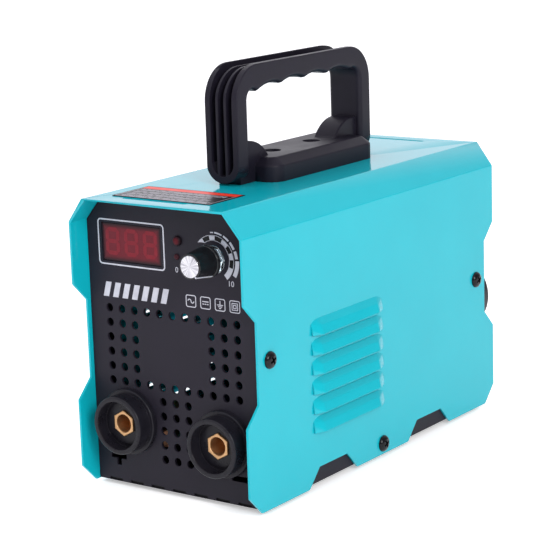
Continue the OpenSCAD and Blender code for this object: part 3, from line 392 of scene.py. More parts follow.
sleeve_blue = finish(
    "shrink_sleeve", dark=(0.012, 0.022, 0.055), light=(0.020, 0.034, 0.080), rough=(0.20, 0.32),
    grain=1.5 * mm, depth=0.01 * mm, patch=10 * mm, edge=0.6 * mm)
rocker_gloss = finish(
    "red_rocker_plastic", dark=(0.36, 0.010, 0.012), light=(0.44, 0.018, 0.018), rough=(0.12, 0.20),
    grain=0.6 * mm, depth=0.004 * mm, patch=8 * mm, edge=0.5 * mm)
pale_ink = finish(
    "pale_print", dark=(0.44, 0.44, 0.50), light=(0.54, 0.54, 0.60), rough=(0.42, 0.55),
    grain=0.2 * mm, depth=0.006 * mm, patch=4 * mm, edge=0.02 * mm, shine=0.3)
black_ink_and_shade = finish(
    "black_print_and_painted_shade", dark=(0.003, 0.003, 0.003), light=(0.005, 0.005, 0.006), rough=(0.42, 0.55),
    grain=0.2 * mm, depth=0.006 * mm, patch=4 * mm, edge=0.02 * mm, shine=0.2)
dim_segment = finish(
    "unlit_segment", dark=(0.165, 0.009, 0.018), light=(0.185, 0.012, 0.022), rough=(0.05, 0.09),
    grain=2 * mm, depth=0.002 * mm, patch=3 * mm, edge=0.02 * mm, shine=0.15)

by_slot = {
    "teal_paint": teal_coat, "dark_paint": dark_coat, "black_plastic": socket_plastic,
    "knob_plastic": knob_gloss, "black_screw": screw_black, "zinc_steel": zinc,
    "silver_cap": cap_silver, "brass": brass_turned, "copper": copper_strip,
    "rubber": rubber_foot, "red_window": red_filter, "red_lamp": red_lens,
    "label_print": label_film, "circuit_board": board_mask, "device_black": resin_black,
    "aluminium": sink_metal, "ferrite": ferrite_grey, "winding": wire_varnish, "can_sleeve": sleeve_blue,
    "rocker_red": rocker_gloss,
}
for row in frame["record"]["subparts"]:
    wear(frame["nodes"][row["node"]].data, by_slot[row["material_slot"]])
for name, look in (("potentiometer_nut", bright_nickel), ("fault_led", dark_lens)):
    wear(frame["nodes"][name].data, look)


# The label on the top: a red band along its rear edge, and ruled lines in a dark field

def rule_label():
    tree, shader, place, colour = drawn_on(label_film)
    low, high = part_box("top_label")
    pale, red = (0.40, 0.38, 0.42), (0.78, 0.045, 0.022)
    border, frame_line, band_w, side_gap = 1.0 * mm, 0.5 * mm, 6.6 * mm, 3.5 * mm
    group_pitch, group_lines, line_pitch, line_w = 5.4 * mm, 3, 1.4 * mm, 0.75 * mm
    ragged_by, ragged_step = 9 * mm, 0.37
    break_l, break_share = 2.5 * mm, 0.40
    split = node(tree, "SeparateXYZ", {0: place})
    x, y = split.outputs[0], split.outputs[1]

    along = sums(tree, "SUBTRACT", y, low.y + border)
    group = sums(tree, "FLOOR", sums(tree, "DIVIDE", along, group_pitch))
    within = sums(tree, "FLOORED_MODULO", along, group_pitch)
    lines = between(tree, sums(tree, "FLOORED_MODULO", within, line_pitch), line_pitch - line_w, line_pitch)
    lines = both(tree, lines, between(tree, within, 0.0, group_lines * line_pitch))
    ragged = sums(tree, "FRACT", sums(tree, "MULTIPLY", group, ragged_step))
    right_end = sums(tree, "SUBTRACT", high.x - side_gap, sums(tree, "MULTIPLY", ragged, ragged_by))
    inside = field(tree, x, y, (low.x + side_gap, low.y + border), (right_end, high.y - band_w - border))
    row_number = sums(tree, "FLOOR", sums(tree, "DIVIDE", along, line_pitch))
    spot = node(tree, "CombineXYZ", {0: x, 1: row_number}).outputs[0]
    unbroken = sums(tree, "GREATER_THAN", speckle(tree, spot, break_l, 0.0), break_share)
    colour = mixed(tree, both(tree, both(tree, lines, inside), unbroken), colour, pale)

    inset = border + frame_line
    outer = field(tree, x, y, (low.x + border, low.y + border), (high.x - border, high.y - border))
    inner = field(tree, x, y, (low.x + inset, low.y + inset), (high.x - inset, high.y))
    colour = mixed(tree, sums(tree, "SUBTRACT", outer, inner), colour, pale)
    band = field(tree, x, y, (low.x + border, high.y - band_w), (high.x - border, high.y - border))
    colour = mixed(tree, band, colour, red)
    tree.links.new(colour, shader.inputs["Base Color"])


rule_label()


# The display's window darkens towards its rim: painted shade, as of the recess round the window

window_low, window_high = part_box("display_window")


def shade_window():
    tree, shader, place, colour = drawn_on(red_filter)
    painted_rim_shade, rim_from, rim_to = (0.016, 0.007, 0.010), 0.2 * mm, 3.4 * mm
    split = node(tree, "SeparateXYZ", {0: place})
    inward = []
    for axis in (0, 2):
        here = split.outputs[axis]
        from_low = sums(tree, "SUBTRACT", here, window_low[axis])
        from_high = sums(tree, "SUBTRACT", window_high[axis], here)
        inward.append(sums(tree, "MINIMUM", from_low, from_high))
    share = spread(tree, sums(tree, "MINIMUM", *inward), rim_from, rim_to, how="SMOOTHSTEP")
    # painted shade: the window's colour is mixed towards a near-black red at its rim
    tree.links.new(mixed(tree, share, painted_rim_shade, colour), shader.inputs["Base Color"])


shade_window()


# The lamps, unlit, are deep red in the middle, with painted shade that darkens each lens towards its rim

def shade_lamp(look, lamp):
    tree, shader, place, colour = drawn_on(look)
    low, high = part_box(lamp)
    painted_rim_shade, full_red_r, rim_r = (0.012, 0.007, 0.010), 1.0 * mm, 2.5 * mm
    about = node(tree, "VectorMath", {0: place, 1: (low + high) / 2}, operation="SUBTRACT").outputs[0]
    flat = node(tree, "VectorMath", {0: about, 1: (1, 0, 1)}, operation="MULTIPLY").outputs[0]
    away = node(tree, "VectorMath", {0: flat}, operation="LENGTH").outputs["Value"]
    share = spread(tree, away, full_red_r, rim_r, how="SMOOTHSTEP")
    # painted shade: each lens's colour is mixed towards a near-black red from its middle out to its rim
    tree.links.new(mixed(tree, share, colour, painted_rim_shade), shader.inputs["Base Color"])


shade_lamp(red_lens, "power_led")
shade_lamp(dark_lens, "fault_led")


# The cap's turned face gets painted highlight rays round its middle: bright and dark sectors in its colour
# stand in for the sheen of spun metal

cap_low, cap_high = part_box("knob_cap")
cap_middle = (cap_low + cap_high) / 2


def paint_cap_highlight_rays():
    tree, shader, place, _ = drawn_on(cap_silver)
    painted_dark_ray, bright = (0.30, 0.29, 0.33), (0.90, 0.90, 0.93)
    ray_w, ray_low, ray_high = 0.3125, 0.36, 0.66
    about = node(tree, "Mapping", {"Vector": place, "Location": -cap_middle}, vector_type="POINT").outputs[0]
    split = node(tree, "SeparateXYZ", {0: about})
    angle = sums(tree, "ARCTAN2", split.outputs[0], split.outputs[2])
    cosine, sine = sums(tree, "COSINE", angle), sums(tree, "SINE", angle)
    circle = node(tree, "CombineXYZ", {0: cosine, 1: sine}).outputs[0]
    share = spread(tree, speckle(tree, circle, ray_w, 5.0, 0.75), ray_low, ray_high)
    # painted highlight: sectors of the cap's colour are made bright or dark by angle round its middle
    tree.links.new(mixed(tree, share, painted_dark_ray, bright), shader.inputs["Base Color"])


paint_cap_highlight_rays()


# The cover, with its four bends rounded

sheet_and_gap = 1.5 * mm
side_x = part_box("base_tray")[1].x + sheet_and_gap
cover_low, cover_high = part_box("cover")
slope_w = 11 * mm
slope_h = 13 * mm
louvre_count = 6
louvre_y = cover_low.y + 56.5 * mm
louvre_l = 66.5 * mm
louvre_top = cover_low.z + 80.9 * mm
louvre_pitch = 10.35 * mm


def make_cover():
    cover = merged_copy("cover", "cover_shell")
    bends = [(side_x, cover_high.z - slope_h), (side_x - slope_w, cover_high.z)]
    long_edge, below, sheet_reach = 100 * mm, 0.2 * mm, 2 * mm
    inner_bend_r, outer_bend_r = 0.4 * mm, 1.1 * mm

    def on_bend(a, b):
        long = abs(a.y - b.y) > long_edge
        return long and any(abs(abs(a.x) - x) < near and abs(a.z - z) < near for x, z in bends)

    def under_bend(a, b):
        long = abs(a.y - b.y) > long_edge
        beside = [z - a.z for x, z in bends if math.hypot(abs(a.x) - x, a.z - z) < sheet_reach]
        return long and any(drop > below for drop in beside)

    round_edges(cover, under_bend, inner_bend_r, 3)
    round_edges(cover, on_bend, outer_bend_r, 5)

    bead_y, bead_w, bead_sunk, bead_from, bead_to = 112.6 * mm, 3.0 * mm, 1.1 * mm, -26 * mm, 15 * mm
    bead_end_r = 0.45 * bead_w
    for end in (-1, 1):
        bead = block("bead", (bead_from, end * bead_y - bead_w / 2, cover_high.z - bead_sunk),
                     (bead_to, end * bead_y + bead_w / 2, cover_high.z + bead_w))
        round_edges(bead, lambda a, b: abs(a.z - b.z) > bead_w, bead_end_r, 4)
        carve(cover, bead)

    skin, past, trim_gap, trim_above = 0.01 * mm, 2 * mm, 3 * mm, 12 * mm
    trim_low = louvre_top - louvre_count * louvre_pitch
    for side in (-1, 1):
        inner, outer = side * (side_x + skin), side * (cover_high.x + past)
        trim = block("louvre_trim", (min(inner, outer), louvre_y - trim_gap, trim_low),
                     (max(inner, outer), louvre_y + louvre_l + trim_gap, louvre_top + trim_above))
        carve(cover, trim)
    smooth(cover, 32)
    fit(cover, teal_coat, "teal_paint", "case", "cover")


make_cover()


# The louvres' pressed hoods: a sheet drawn out in two steps, then flattened, made once and copied

def make_louvres():
    tall, slope, flatten, sunk, lip_lean, hood_t = 14.8 * mm, 6.6 * mm, 0.60, 0.3 * mm, 2.5 * mm, 1.1 * mm
    lip_out = cover_high.x - side_x + sunk
    alone()
    bpy.ops.mesh.primitive_grid_add(
        x_subdivisions=24, y_subdivisions=80, size=1, rotation=(0, quarter, 0),
        location=(side_x - sunk, louvre_y + louvre_l / 2, louvre_top + tall / 2))
    bpy.context.object.scale = (tall, louvre_l, 1)
    first = settle("louvre_hood_1")

    def push_out(out, below, reach):
        """Pushes the points below a height outwards, and their neighbours less and less."""
        edit(first, "VERT", lambda p: p.z < below and louvre_y + slope < p.y < louvre_y + louvre_l - slope)
        bpy.ops.transform.translate(value=(out, 0, 0), use_proportional_edit=True,
                                    proportional_edit_falloff="LINEAR", proportional_size=reach)

    push_out(lip_out - lip_lean, louvre_top + tall - slope, slope)
    push_out(lip_lean, louvre_top + near, tall)
    edit(first, "VERT", every)
    bpy.ops.transform.resize(value=(1, 1, flatten), center_override=(0, 0, louvre_top))
    bpy.ops.mesh.normals_make_consistent(inside=False)
    alone(first)
    bpy.ops.object.modifier_add(type="SOLIDIFY")
    step = first.modifiers[-1]
    step.thickness = hood_t
    step.offset = -1
    bpy.ops.object.modifier_apply(modifier=step.name)
    hoods = [first]
    for i in range(1, louvre_count):
        hoods.append(again(first, "louvre_hood_%d" % (i + 1), (0, 0, -i * louvre_pitch)))
    for right in list(hoods):
        left = again(right, "louvre_hood_%d" % (len(hoods) + 1), (0, 0, 0))
        edit(left, "VERT", every)
        bpy.ops.transform.resize(value=(-1, 1, 1), center_override=(0, 0, 0))
        hoods.append(left)
    for hood in hoods:
        smooth(hood, 40)
        fit(hood, teal_coat, "teal_paint", "case")


make_louvres()


# The carrying handle: a loop drawn up, over and down, with grooves, ears and a base plate

handle_low, handle_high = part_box("handle")
grip_low, grip_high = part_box("handle_grip")
loop_half = grip_high.x
loop_r = grip_low.y - handle_low.y
post_t = 10.2 * mm
inner_round = 2.6 * mm
post_low = handle_low.z + 1.2 * mm
finger_pitch = 21.4 * mm
finger_depth = 2 * mm
grip_under = handle_high.z - post_t
spare = 2 * mm
clear = 0.06 * mm


def grip_drop(y):
    """How far the grip's underside hangs at a place: more at the front and between the fingers."""
    rear_drop, front_extra, ridge = 2.3 * mm, 2.0 * mm, 0.93
    heavy = rear_drop + front_extra * max(0.0, y / grip_low.y) ** 2
    if abs(y) > 2 * finger_pitch:
        return heavy
    across = min(abs(2 * ((y / finger_pitch) % 1.0) - 1), ridge)
    return heavy - finger_depth * (1 - across * across)


def make_loop():
    """The plain loop: a post's outline drawn along it, and then its underside let down."""
    front, rear, top = handle_low.y, handle_high.y, handle_high.z
    outer_round, bend_steps, stations, turn_reach = 0.6 * mm, 12, 49, 0.01
    straight = rear - front - 2 * loop_r
    alone()
    bpy.ops.mesh.primitive_plane_add(size=1, location=(0, front + post_t / 2, post_low))
    bpy.context.object.scale = (2 * loop_half, post_t, 1)
    loop = settle("handle_loop")
    edit(loop, "VERT", lambda p: p.y > front + post_t / 2)
    bpy.ops.mesh.bevel(affect="VERTICES", offset=inner_round, segments=6)
    edit(loop, "VERT", lambda p: p.y < front + near)
    bpy.ops.mesh.bevel(affect="VERTICES", offset=outer_round, segments=3)
    bpy.ops.mesh.select_all(action="SELECT")
    bpy.ops.mesh.delete(type="ONLY_FACE")
    bpy.ops.mesh.select_mode(type="EDGE")
    bpy.ops.mesh.select_all(action="SELECT")
    draw_out(z=top - loop_r - post_low)
    swing(-quarter, (0, front + loop_r, top - loop_r), (1, 0, 0), bend_steps)
    for _ in range(stations):
        draw_out(y=straight / stations)
    swing(-quarter, (0, rear - loop_r, top - loop_r), (1, 0, 0), bend_steps)
    draw_out(z=post_low - top + loop_r)
    for end in (-1, 1):
        edit(loop, "EDGE", lambda a, b: max(a.z, b.z) < post_low + near and a.y * end > 0)
        bpy.ops.mesh.edge_face_add()

    for i in range(stations + 1):
        y = grip_low.y + straight * i / stations

        def under_grip(p):
            return abs(p.y - y) < near and grip_under - near < p.z < grip_under + inner_round + near

        edit(loop, "VERT", under_grip)
        bpy.ops.transform.translate(value=(0, 0, -grip_drop(y)))
    for end in (grip_low.y, grip_high.y):
        for step in range(1, bend_steps):
            turn = quarter * step / bend_steps

            def in_bend(p):
                out, up = (p.y - end) * math.copysign(1, end), p.z - (top - loop_r)
                inside = math.hypot(out, up) < loop_r - post_t + inner_round + near
                return out > near and inside and abs(math.atan2(up, out) - turn) < turn_reach

            edit(loop, "VERT", in_bend)
            bpy.ops.transform.translate(value=(0, 0, -grip_drop(end) * (turn / quarter) ** 2))
    smooth(loop, 60)
    return loop


def groove_loop(loop):
    """Rounds the posts' feet, and cuts three grooves with two low ribs between them round the loop."""
    front, rear, top = handle_low.y, handle_high.y, handle_high.z
    past_front, past_rear = front - 2 * spare, rear + 2 * spare
    groove_w, rib_t, groove_depth, rib_drop, groove_rim = 3.7 * mm, 1.5 * mm, 5 * mm, 1.8 * mm, 3.5 * mm
    foot = (0, 0, post_low + loop_half)
    ends = block("post_ends", (-2 * loop_half, front - spare, post_low - spare),
                 (2 * loop_half, rear + spare, foot[2]))
    carve(ends, rod("post_round", "y", foot, loop_half + clear, past_front, past_rear))
    carve(loop, ends)

    def over_loop(name, x, width, depth, drop, bend_r):
        """A cutter that follows the loop's outside."""
        band = block(name, (x - width / 2, front - spare, post_low),
                     (x + width / 2, rear + spare, top + spare))
        core = block("core", (-loop_half, front + depth, post_low - spare),
                     (loop_half, rear - depth, top - drop))
        round_edges(core, lambda a, b: abs(a.x - b.x) > loop_half and a.z > top - drop - near, bend_r, 12)
        return carve(band, core)

    relief_w = 3 * groove_w + 2 * rib_t - 2 * clear
    cutters = [over_loop("rib_relief", 0.0, relief_w, -spare / 2, rib_drop, loop_r + spare / 2)]
    for i in (-1, 0, 1):
        x = i * (groove_w + rib_t)
        cutters.append(over_loop("groove", x, groove_w, groove_depth, groove_depth, loop_r - groove_depth))
    for cutter in cutters:
        space = rod("groove_end", "y", foot, loop_half - groove_rim, past_front, past_rear)
        above = block("groove_run", (-loop_half, past_front, foot[2]),
                      (loop_half, past_rear, top + 2 * spare))
        carve(loop, carve(cutter, carve(space, above, "UNION"), "INTERSECT"))
    return loop


def make_plate():
    """The base plate, with a raised middle and an ear at each post."""
    floor_z = handle_low.z
    plate_w, plate_l, plate_shift, corner_r = 41.2 * mm, 96 * mm, 4 * mm, 8 * mm
    edge_h, rise, rise_in, soft_edge = 8.5 * mm, 4 * mm, 5 * mm, 0.7 * mm
    plate = block("plate", (-plate_w / 2, plate_shift - plate_l / 2, floor_z),
                  (plate_w / 2, plate_shift + plate_l / 2, floor_z + edge_h))
    round_edges(plate, lambda a, b: abs(a.z - b.z) > edge_h / 2, corner_r, 8)
    edit(plate, "FACE", facing(z=1))
    bpy.ops.mesh.inset(thickness=rise_in, depth=rise)
    round_edges(plate, lambda a, b: abs(a.z - b.z) < near and a.z > floor_z + edge_h - near, soft_edge, 3)
    ear_r, ear_half, ear_y, ear_end, ear_edge = 22 * mm, 7 * mm, 49.5 * mm, 57 * mm, 0.8 * mm
    for side in (-1, 1):
        ear = rod("ear", "x", (0, side * ear_y, floor_z), ear_r, -ear_half, ear_half, 96)
        round_edges(ear, lambda a, b: abs(a.x - b.x) < near, ear_edge, 3)
        inside = block("ear_space", (-ear_half - spare, min(0, side * ear_end), floor_z + clear),
                       (ear_half + spare, max(0, side * ear_end), floor_z + ear_r + spare))
        carve(plate, carve(ear, inside, "INTERSECT"), "UNION")
    return plate


def make_handle():
    loop = groove_loop(make_loop())
    handle = carve(make_plate(), loop, "UNION")
    screw_y, sink_r, hole_r, past = 18.7 * mm, 5 * mm, 2.7 * mm, 1 * mm
    sink_low, sink_high = handle_low.z + 4 * mm, handle_low.z + 42.5 * mm
    for side in (-1, 1):
        at = (0, side * screw_y, 0)
        carve(handle, rod("screw_sink", "z", at, sink_r, sink_low, sink_high, 48))
        carve(handle, rod("screw_hole", "z", at, hole_r, handle_low.z - past, sink_low + past, 32))
    handle.name = handle.data.name = "carrying_handle"
    edit(handle, "VERT", every)
    bpy.ops.mesh.remove_doubles(threshold=0.04 * mm)
    bpy.ops.mesh.dissolve_degenerate(threshold=0.02 * mm)
    bpy.ops.mesh.select_all(action="SELECT")
    bpy.ops.mesh.fill_holes(sides=8)
    smooth(handle, 38)
    fit(handle, grip_plastic, "black_plastic", "case", "handle", "handle_grip")


make_handle()


# Side screws: a domed head with a cross recess, made once and copied

screw_low, screw_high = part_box("cover_screws")


def make_cover_screws():
    head_r, rim_h, shank_r, shank_l = 4.5 * mm, 0.5 * mm, 2 * mm, 8.2 * mm
    dome_steps = ((0.35, 0.75), (0.6, 0.55), (0.9, 0.42), (1.0, 0.2))
    arm_l, arm_w, recess_depth, past = 4.6 * mm, 1.2 * mm, 1.5 * mm, 1 * mm
    place = Vector((side_x, screw_low.y + head_r, screw_high.z - head_r))
    head_h = screw_high.x - side_x
    screw = rod("cover_screw_1", "x", place, head_r, side_x, side_x + rim_h, 40)
    edit(screw, "FACE", facing(x=1))
    for inward, rise in dome_steps:
        bpy.ops.mesh.inset(thickness=inward * mm, depth=rise * mm)
    edit(screw, "FACE", facing(x=-1))
    bpy.ops.mesh.inset(thickness=head_r - shank_r)
    draw_out(x=-shank_l)
    for y, z in ((arm_w / 2, arm_l / 2), (arm_l / 2, arm_w / 2)):
        carve(screw, block("recess", place + Vector((head_h - recess_depth, -y, -z)),
                           place + Vector((head_h + past, y, z))))
    turned(screw, math.radians(25), place, (1, 0, 0))
    copies = [screw]
    for y, z in ((0.0, screw_low.z + head_r), (screw_high.y - head_r, screw_high.z - head_r)):
        name = "cover_screw_%d" % (len(copies) + 1)
        copies.append(again(screw, name, (0, y - place.y, z - place.z)))
    for right in list(copies):
        left = again(right, "cover_screw_%d" % (len(copies) + 1), (0, 0, 0))
        turned(left, math.pi, (0, 0, 0), (0, 0, 1))
        copies.append(left)
    for screw in copies:
        smooth(screw, 30)
        fit(screw, screw_black, "black_screw", "case")
    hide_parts("cover_screws")


make_cover_screws()


# The front panel, with its signs cut wider and a row of slots along its foot, with a black strip behind the
# slots as painted shade

panel_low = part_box("front_panel")[0]
panel_y = panel_low.y


def make_front_panel():
    panel = merged_copy("front_panel", "front_panel_sheet")
    through, cut_round = 4 * mm, 0.2 * mm
    sign_x, sign_z, sign_l, stroke = 39.6 * mm, 16.6 * mm, 10.2 * mm, 3.0 * mm
    slot_count, slot_pitch, slot_l = 7, 14.1 * mm, 8.7 * mm
    slot_low, slot_high = panel_low.z + 0.25 * mm, panel_low.z + 1.6 * mm

    def cut(x0, z0, x1, z1):
        tool = block("cutter", (x0, panel_y - through, z0), (x1, panel_y + through, z1))
        round_edges(tool, upright, cut_round, 2)
        carve(panel, tool)

    for x, long, high in ((-sign_x, sign_l, stroke), (-sign_x, stroke, sign_l), (sign_x, sign_l, stroke)):
        cut(x - long / 2, sign_z - high / 2, x + long / 2, sign_z + high / 2)
    for i in range(slot_count):
        x = (i - (slot_count - 1) / 2) * slot_pitch
        cut(x - slot_l / 2, slot_low, x + slot_l / 2, slot_high)
    smooth(panel, 30)
    fit(panel, dark_coat, "dark_paint", "case", "front_panel")

    row_half, inside_by = slot_count * slot_pitch / 2, 0.9 * mm
    strip_t, overlap, strip_round = 0.4 * mm, 0.15 * mm, 0.1 * mm
    # painted shade: a black strip behind the slots makes them read as dark openings
    slot_shade_strip = block("slot_painted_shade", (-row_half, panel_y + inside_by, slot_low - overlap),
                    (row_half, panel_y + inside_by + strip_t, slot_high + overlap))
    round_edges(slot_shade_strip, upright, strip_round, 1)
    fit(slot_shade_strip, black_ink_and_shade, "dark_paint")


make_front_panel()


# The output sockets: black cups with hexagonal brass inserts

plus_low, plus_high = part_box("positive_socket_body")
minus_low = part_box("negative_socket_body")[0]
plus_axis = Vector(((plus_low.x + plus_high.x) / 2, 0, (plus_low.z + plus_high.z) / 2))
to_minus = Vector((minus_low.x - plus_low.x, 0, minus_low.z - plus_low.z))
insert_low, insert_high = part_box("positive_socket_insert")
bore_r = 4.7 * mm
bore_end = insert_low.y + 14 * mm


def make_socket_body():
    flange_r, rim_r, cup_r, barrel_r = 17.5 * mm, 15.5 * mm, 12.8 * mm, 12 * mm
    flange_y, cup_depth = panel_y - 3 * mm, 7.2 * mm
    step_w, step_h, seat_gap, seat_past = 1.6 * mm, 0.5 * mm, 0.4 * mm, 3 * mm
    rim_round, cup_round, flange_round = 1.0 * mm, 0.5 * mm, 0.7 * mm
    body = rod("positive_socket", "y", plus_axis, flange_r, flange_y, panel_y, 96)
    edit(body, "FACE", facing(y=-1))
    bpy.ops.mesh.inset(thickness=flange_r - rim_r)
    draw_out(y=plus_low.y - flange_y)
    bpy.ops.mesh.inset(thickness=rim_r - cup_r)
    draw_out(y=cup_depth)
    bpy.ops.mesh.inset(thickness=step_w)
    draw_out(y=-step_h)
    edit(body, "FACE", lambda c, n: facing(y=1)(c, n) and c.y > panel_y - near)
    bpy.ops.mesh.inset(thickness=flange_r - barrel_r)
    draw_out(y=plus_high.y - panel_y)
    round_edges(body, ring(plus_axis, plus_low.y, rim_r), rim_round, 4)
    round_edges(body, ring(plus_axis, plus_low.y, cup_r), cup_round, 3)
    round_edges(body, ring(plus_axis, flange_y, flange_r), flange_round, 3)
    carve(body, rod("insert_seat", "y", plus_axis, bore_r + seat_gap, plus_low.y, bore_end + seat_past))
    return smooth(body, 35)


def make_socket_insert():
    hex_r, hex_end = (insert_high.x - insert_low.x) / 2, panel_y + 3 * mm
    shank_in, hex_edge, bore_rim = 0.9 * mm, 0.55 * mm, 0.35 * mm
    insert = rod("positive_insert", "y", plus_axis, hex_r, insert_low.y, hex_end, 6)
    edit(insert, "FACE", facing(y=1))
    bpy.ops.mesh.inset(thickness=shank_in)
    draw_out(y=insert_high.y - hex_end)
    round_edges(insert, lambda a, b: max(a.y, b.y) < insert_low.y + near, hex_edge, 3)
    bore = rod("pin_bore", "y", plus_axis, bore_r, insert_low.y + bore_rim, bore_end)
    edit(bore, "FACE", facing(y=-1))
    draw_out(y=-2 * bore_rim)
    flare = 1 + 2 * bore_rim / bore_r
    bpy.ops.transform.resize(value=(flare, 1, flare), center_override=plus_axis)
    carve(insert, bore)
    return smooth(insert, 35)


def make_sockets():
    body, insert = make_socket_body(), make_socket_insert()
    body_2 = again(body, "negative_socket", to_minus)
    insert_2 = again(insert, "negative_insert", to_minus)
    fit(body, socket_plastic, "black_plastic", "case", "positive_socket_body")
    fit(body_2, socket_plastic, "black_plastic", "case", "negative_socket_body")
    fit(insert, brass_turned, "brass", "case", "positive_socket_insert")
    fit(insert_2, brass_turned, "brass", "case", "negative_socket_insert")


make_sockets()


# The current knob with its pointer and silver cap

knob_low, knob_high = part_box("current_knob")
knob_axis = Vector((cap_middle.x, 0, cap_middle.z))
pointer_turn = math.radians(146)


def make_knob():
    skirt_r, skirt_y, skirt_ledge = (knob_high.x - knob_low.x) / 2, knob_high.y - 2 * mm, 0.5 * mm
    foot_r, front_r = skirt_r - skirt_ledge, 6.4 * mm
    cap_r, cap_gap = (cap_high.x - cap_low.x) / 2, 0.05 * mm
    shaft_r, shaft_l, past = 3.05 * mm, 9 * mm, 1 * mm
    front_round, skirt_round, cap_round, pointer_round = 0.4 * mm, 0.5 * mm, 0.25 * mm, 0.06 * mm
    knob = rod("current_knob_body", "y", knob_axis, skirt_r, skirt_y, knob_high.y, 96)
    edit(knob, "FACE", facing(y=-1))
    bpy.ops.mesh.inset(thickness=skirt_ledge)
    draw_out(y=knob_low.y - skirt_y)
    lean = front_r / foot_r
    bpy.ops.transform.resize(value=(lean, 1, lean), center_override=knob_axis + Vector((0, knob_low.y, 0)))
    bpy.ops.mesh.inset(thickness=front_r - cap_r - cap_gap)
    draw_out(y=cap_high.y - knob_low.y)
    round_edges(knob, ring(knob_axis, knob_low.y, front_r), front_round, 3)
    round_edges(knob, ring(knob_axis, skirt_y, skirt_r), skirt_round, 3)
    carve(knob, rod("shaft_bore", "y", knob_axis, shaft_r, knob_high.y - shaft_l, knob_high.y + past, 48))
    smooth(knob, 35)
    cap = rod("knob_cap_disc", "y", knob_axis, cap_r, cap_low.y, cap_high.y, 96)
    round_edges(cap, ring(knob_axis, cap_low.y, cap_r), cap_round, 3)
    smooth(cap, 35)
    pointer_half, proud, cap_clear = 0.42 * mm, 0.18 * mm, 0.1 * mm
    pointer = block("knob_pointer",
                    knob_axis + Vector((-pointer_half, knob_low.y - proud, cap_r + cap_clear)),
                    knob_axis + Vector((pointer_half, skirt_y, front_r + proud)))
    edit(pointer, "FACE", facing(y=1))
    bpy.ops.transform.translate(value=(0, 0, foot_r - front_r))
    turned(pointer, pointer_turn, knob_axis)
    round_edges(pointer, every, pointer_round, 1)
    fit(knob, knob_gloss, "knob_plastic", "knob", "current_knob")
    fit(cap, cap_silver, "silver_cap", "knob", "knob_cap")
    fit(pointer, pale_ink, "label_print", "knob")


make_knob()


# Prints on the front panel, with sizes and places in millimetres and angles in degrees

ink_t = 0.06 * mm
ink_y = panel_y - ink_t
ink_middle = (ink_y + panel_y) / 2


def print_block(name, x0, z0, x1, z1):
    """A printed rectangle."""
    return block(name, (x0 * mm, ink_y, z0 * mm), (x1 * mm, panel_y, z1 * mm))


def print_frame(name, x0, z0, x1, z1, r, line):
    """A printed outline with round corners."""
    past, least_round = 1 * mm, 0.05
    outer = print_block(name, x0, z0, x1, z1)
    round_edges(outer, upright, r * mm, 5)
    inner = block("inner", ((x0 + line) * mm, panel_y - past, (z0 + line) * mm),
                  ((x1 - line) * mm, panel_y + past, (z1 - line) * mm))
    round_edges(inner, upright, max(r - line, least_round) * mm, 5)
    return carve(outer, inner)


def arc_steps(start, end):
    """How many steps a printed band takes: one for every four degrees, and at least three."""
    return max(3, int(abs(end - start) / 4))


def print_arc(name, near_r, far_r, start, end):
    """A printed band round the knob, its angles clockwise from the top."""
    alone()
    turn = math.radians(start)
    middle = (near_r + far_r) / 2 * mm
    place = knob_axis + Vector((math.sin(turn) * middle, ink_middle, math.cos(turn) * middle))
    bpy.ops.mesh.primitive_plane_add(size=1, location=place, rotation=(0, quarter + turn, 0))
    bpy.context.object.scale = ((far_r - near_r) * mm, ink_t, 1)
    band = settle(name)
    edit(band, "FACE", every)
    swing(math.radians(end - start), knob_axis, (0, 1, 0), arc_steps(start, end))
    return smooth(band, 30)


def taper_arc(band, near_r, far_r, start, end):
    """Draws a printed band's inner edge out, to a point on its outer edge at its start."""
    steps, outer_share = arc_steps(start, end), 0.98
    for step in range(steps):
        turn = math.radians(start + (end - start) * step / steps)
        across = Vector((math.sin(turn), 0, math.cos(turn)))

        def on_inner_edge(p):
            away = away_from(knob_axis, p)
            return away < outer_share * far_r * mm and away - (p - knob_axis).dot(across) < near

        edit(band, "VERT", on_inner_edge)
        share = (far_r + (near_r - far_r) * step / steps) / near_r
        bpy.ops.transform.resize(value=(share, 1, share), center_override=knob_axis)
    alone(band)
    return band


def print_number(name, figures, x, z, height):
    """Plain figures printed on the panel, centred."""
    figure_share = 0.7
    alone()
    bpy.ops.object.text_add(location=(0, 0, 0))
    text = bpy.context.object.data
    text.body = figures
    text.align_x = "CENTER"
    text.align_y = "CENTER"
    text.size = height * mm / figure_share
    text.extrude = ink_t / 2
    bpy.ops.object.convert(target="MESH")
    piece = bpy.context.object
    piece.rotation_euler = (quarter, 0, 0)
    piece.location = (x * mm, ink_middle, z * mm)
    return settle(name)


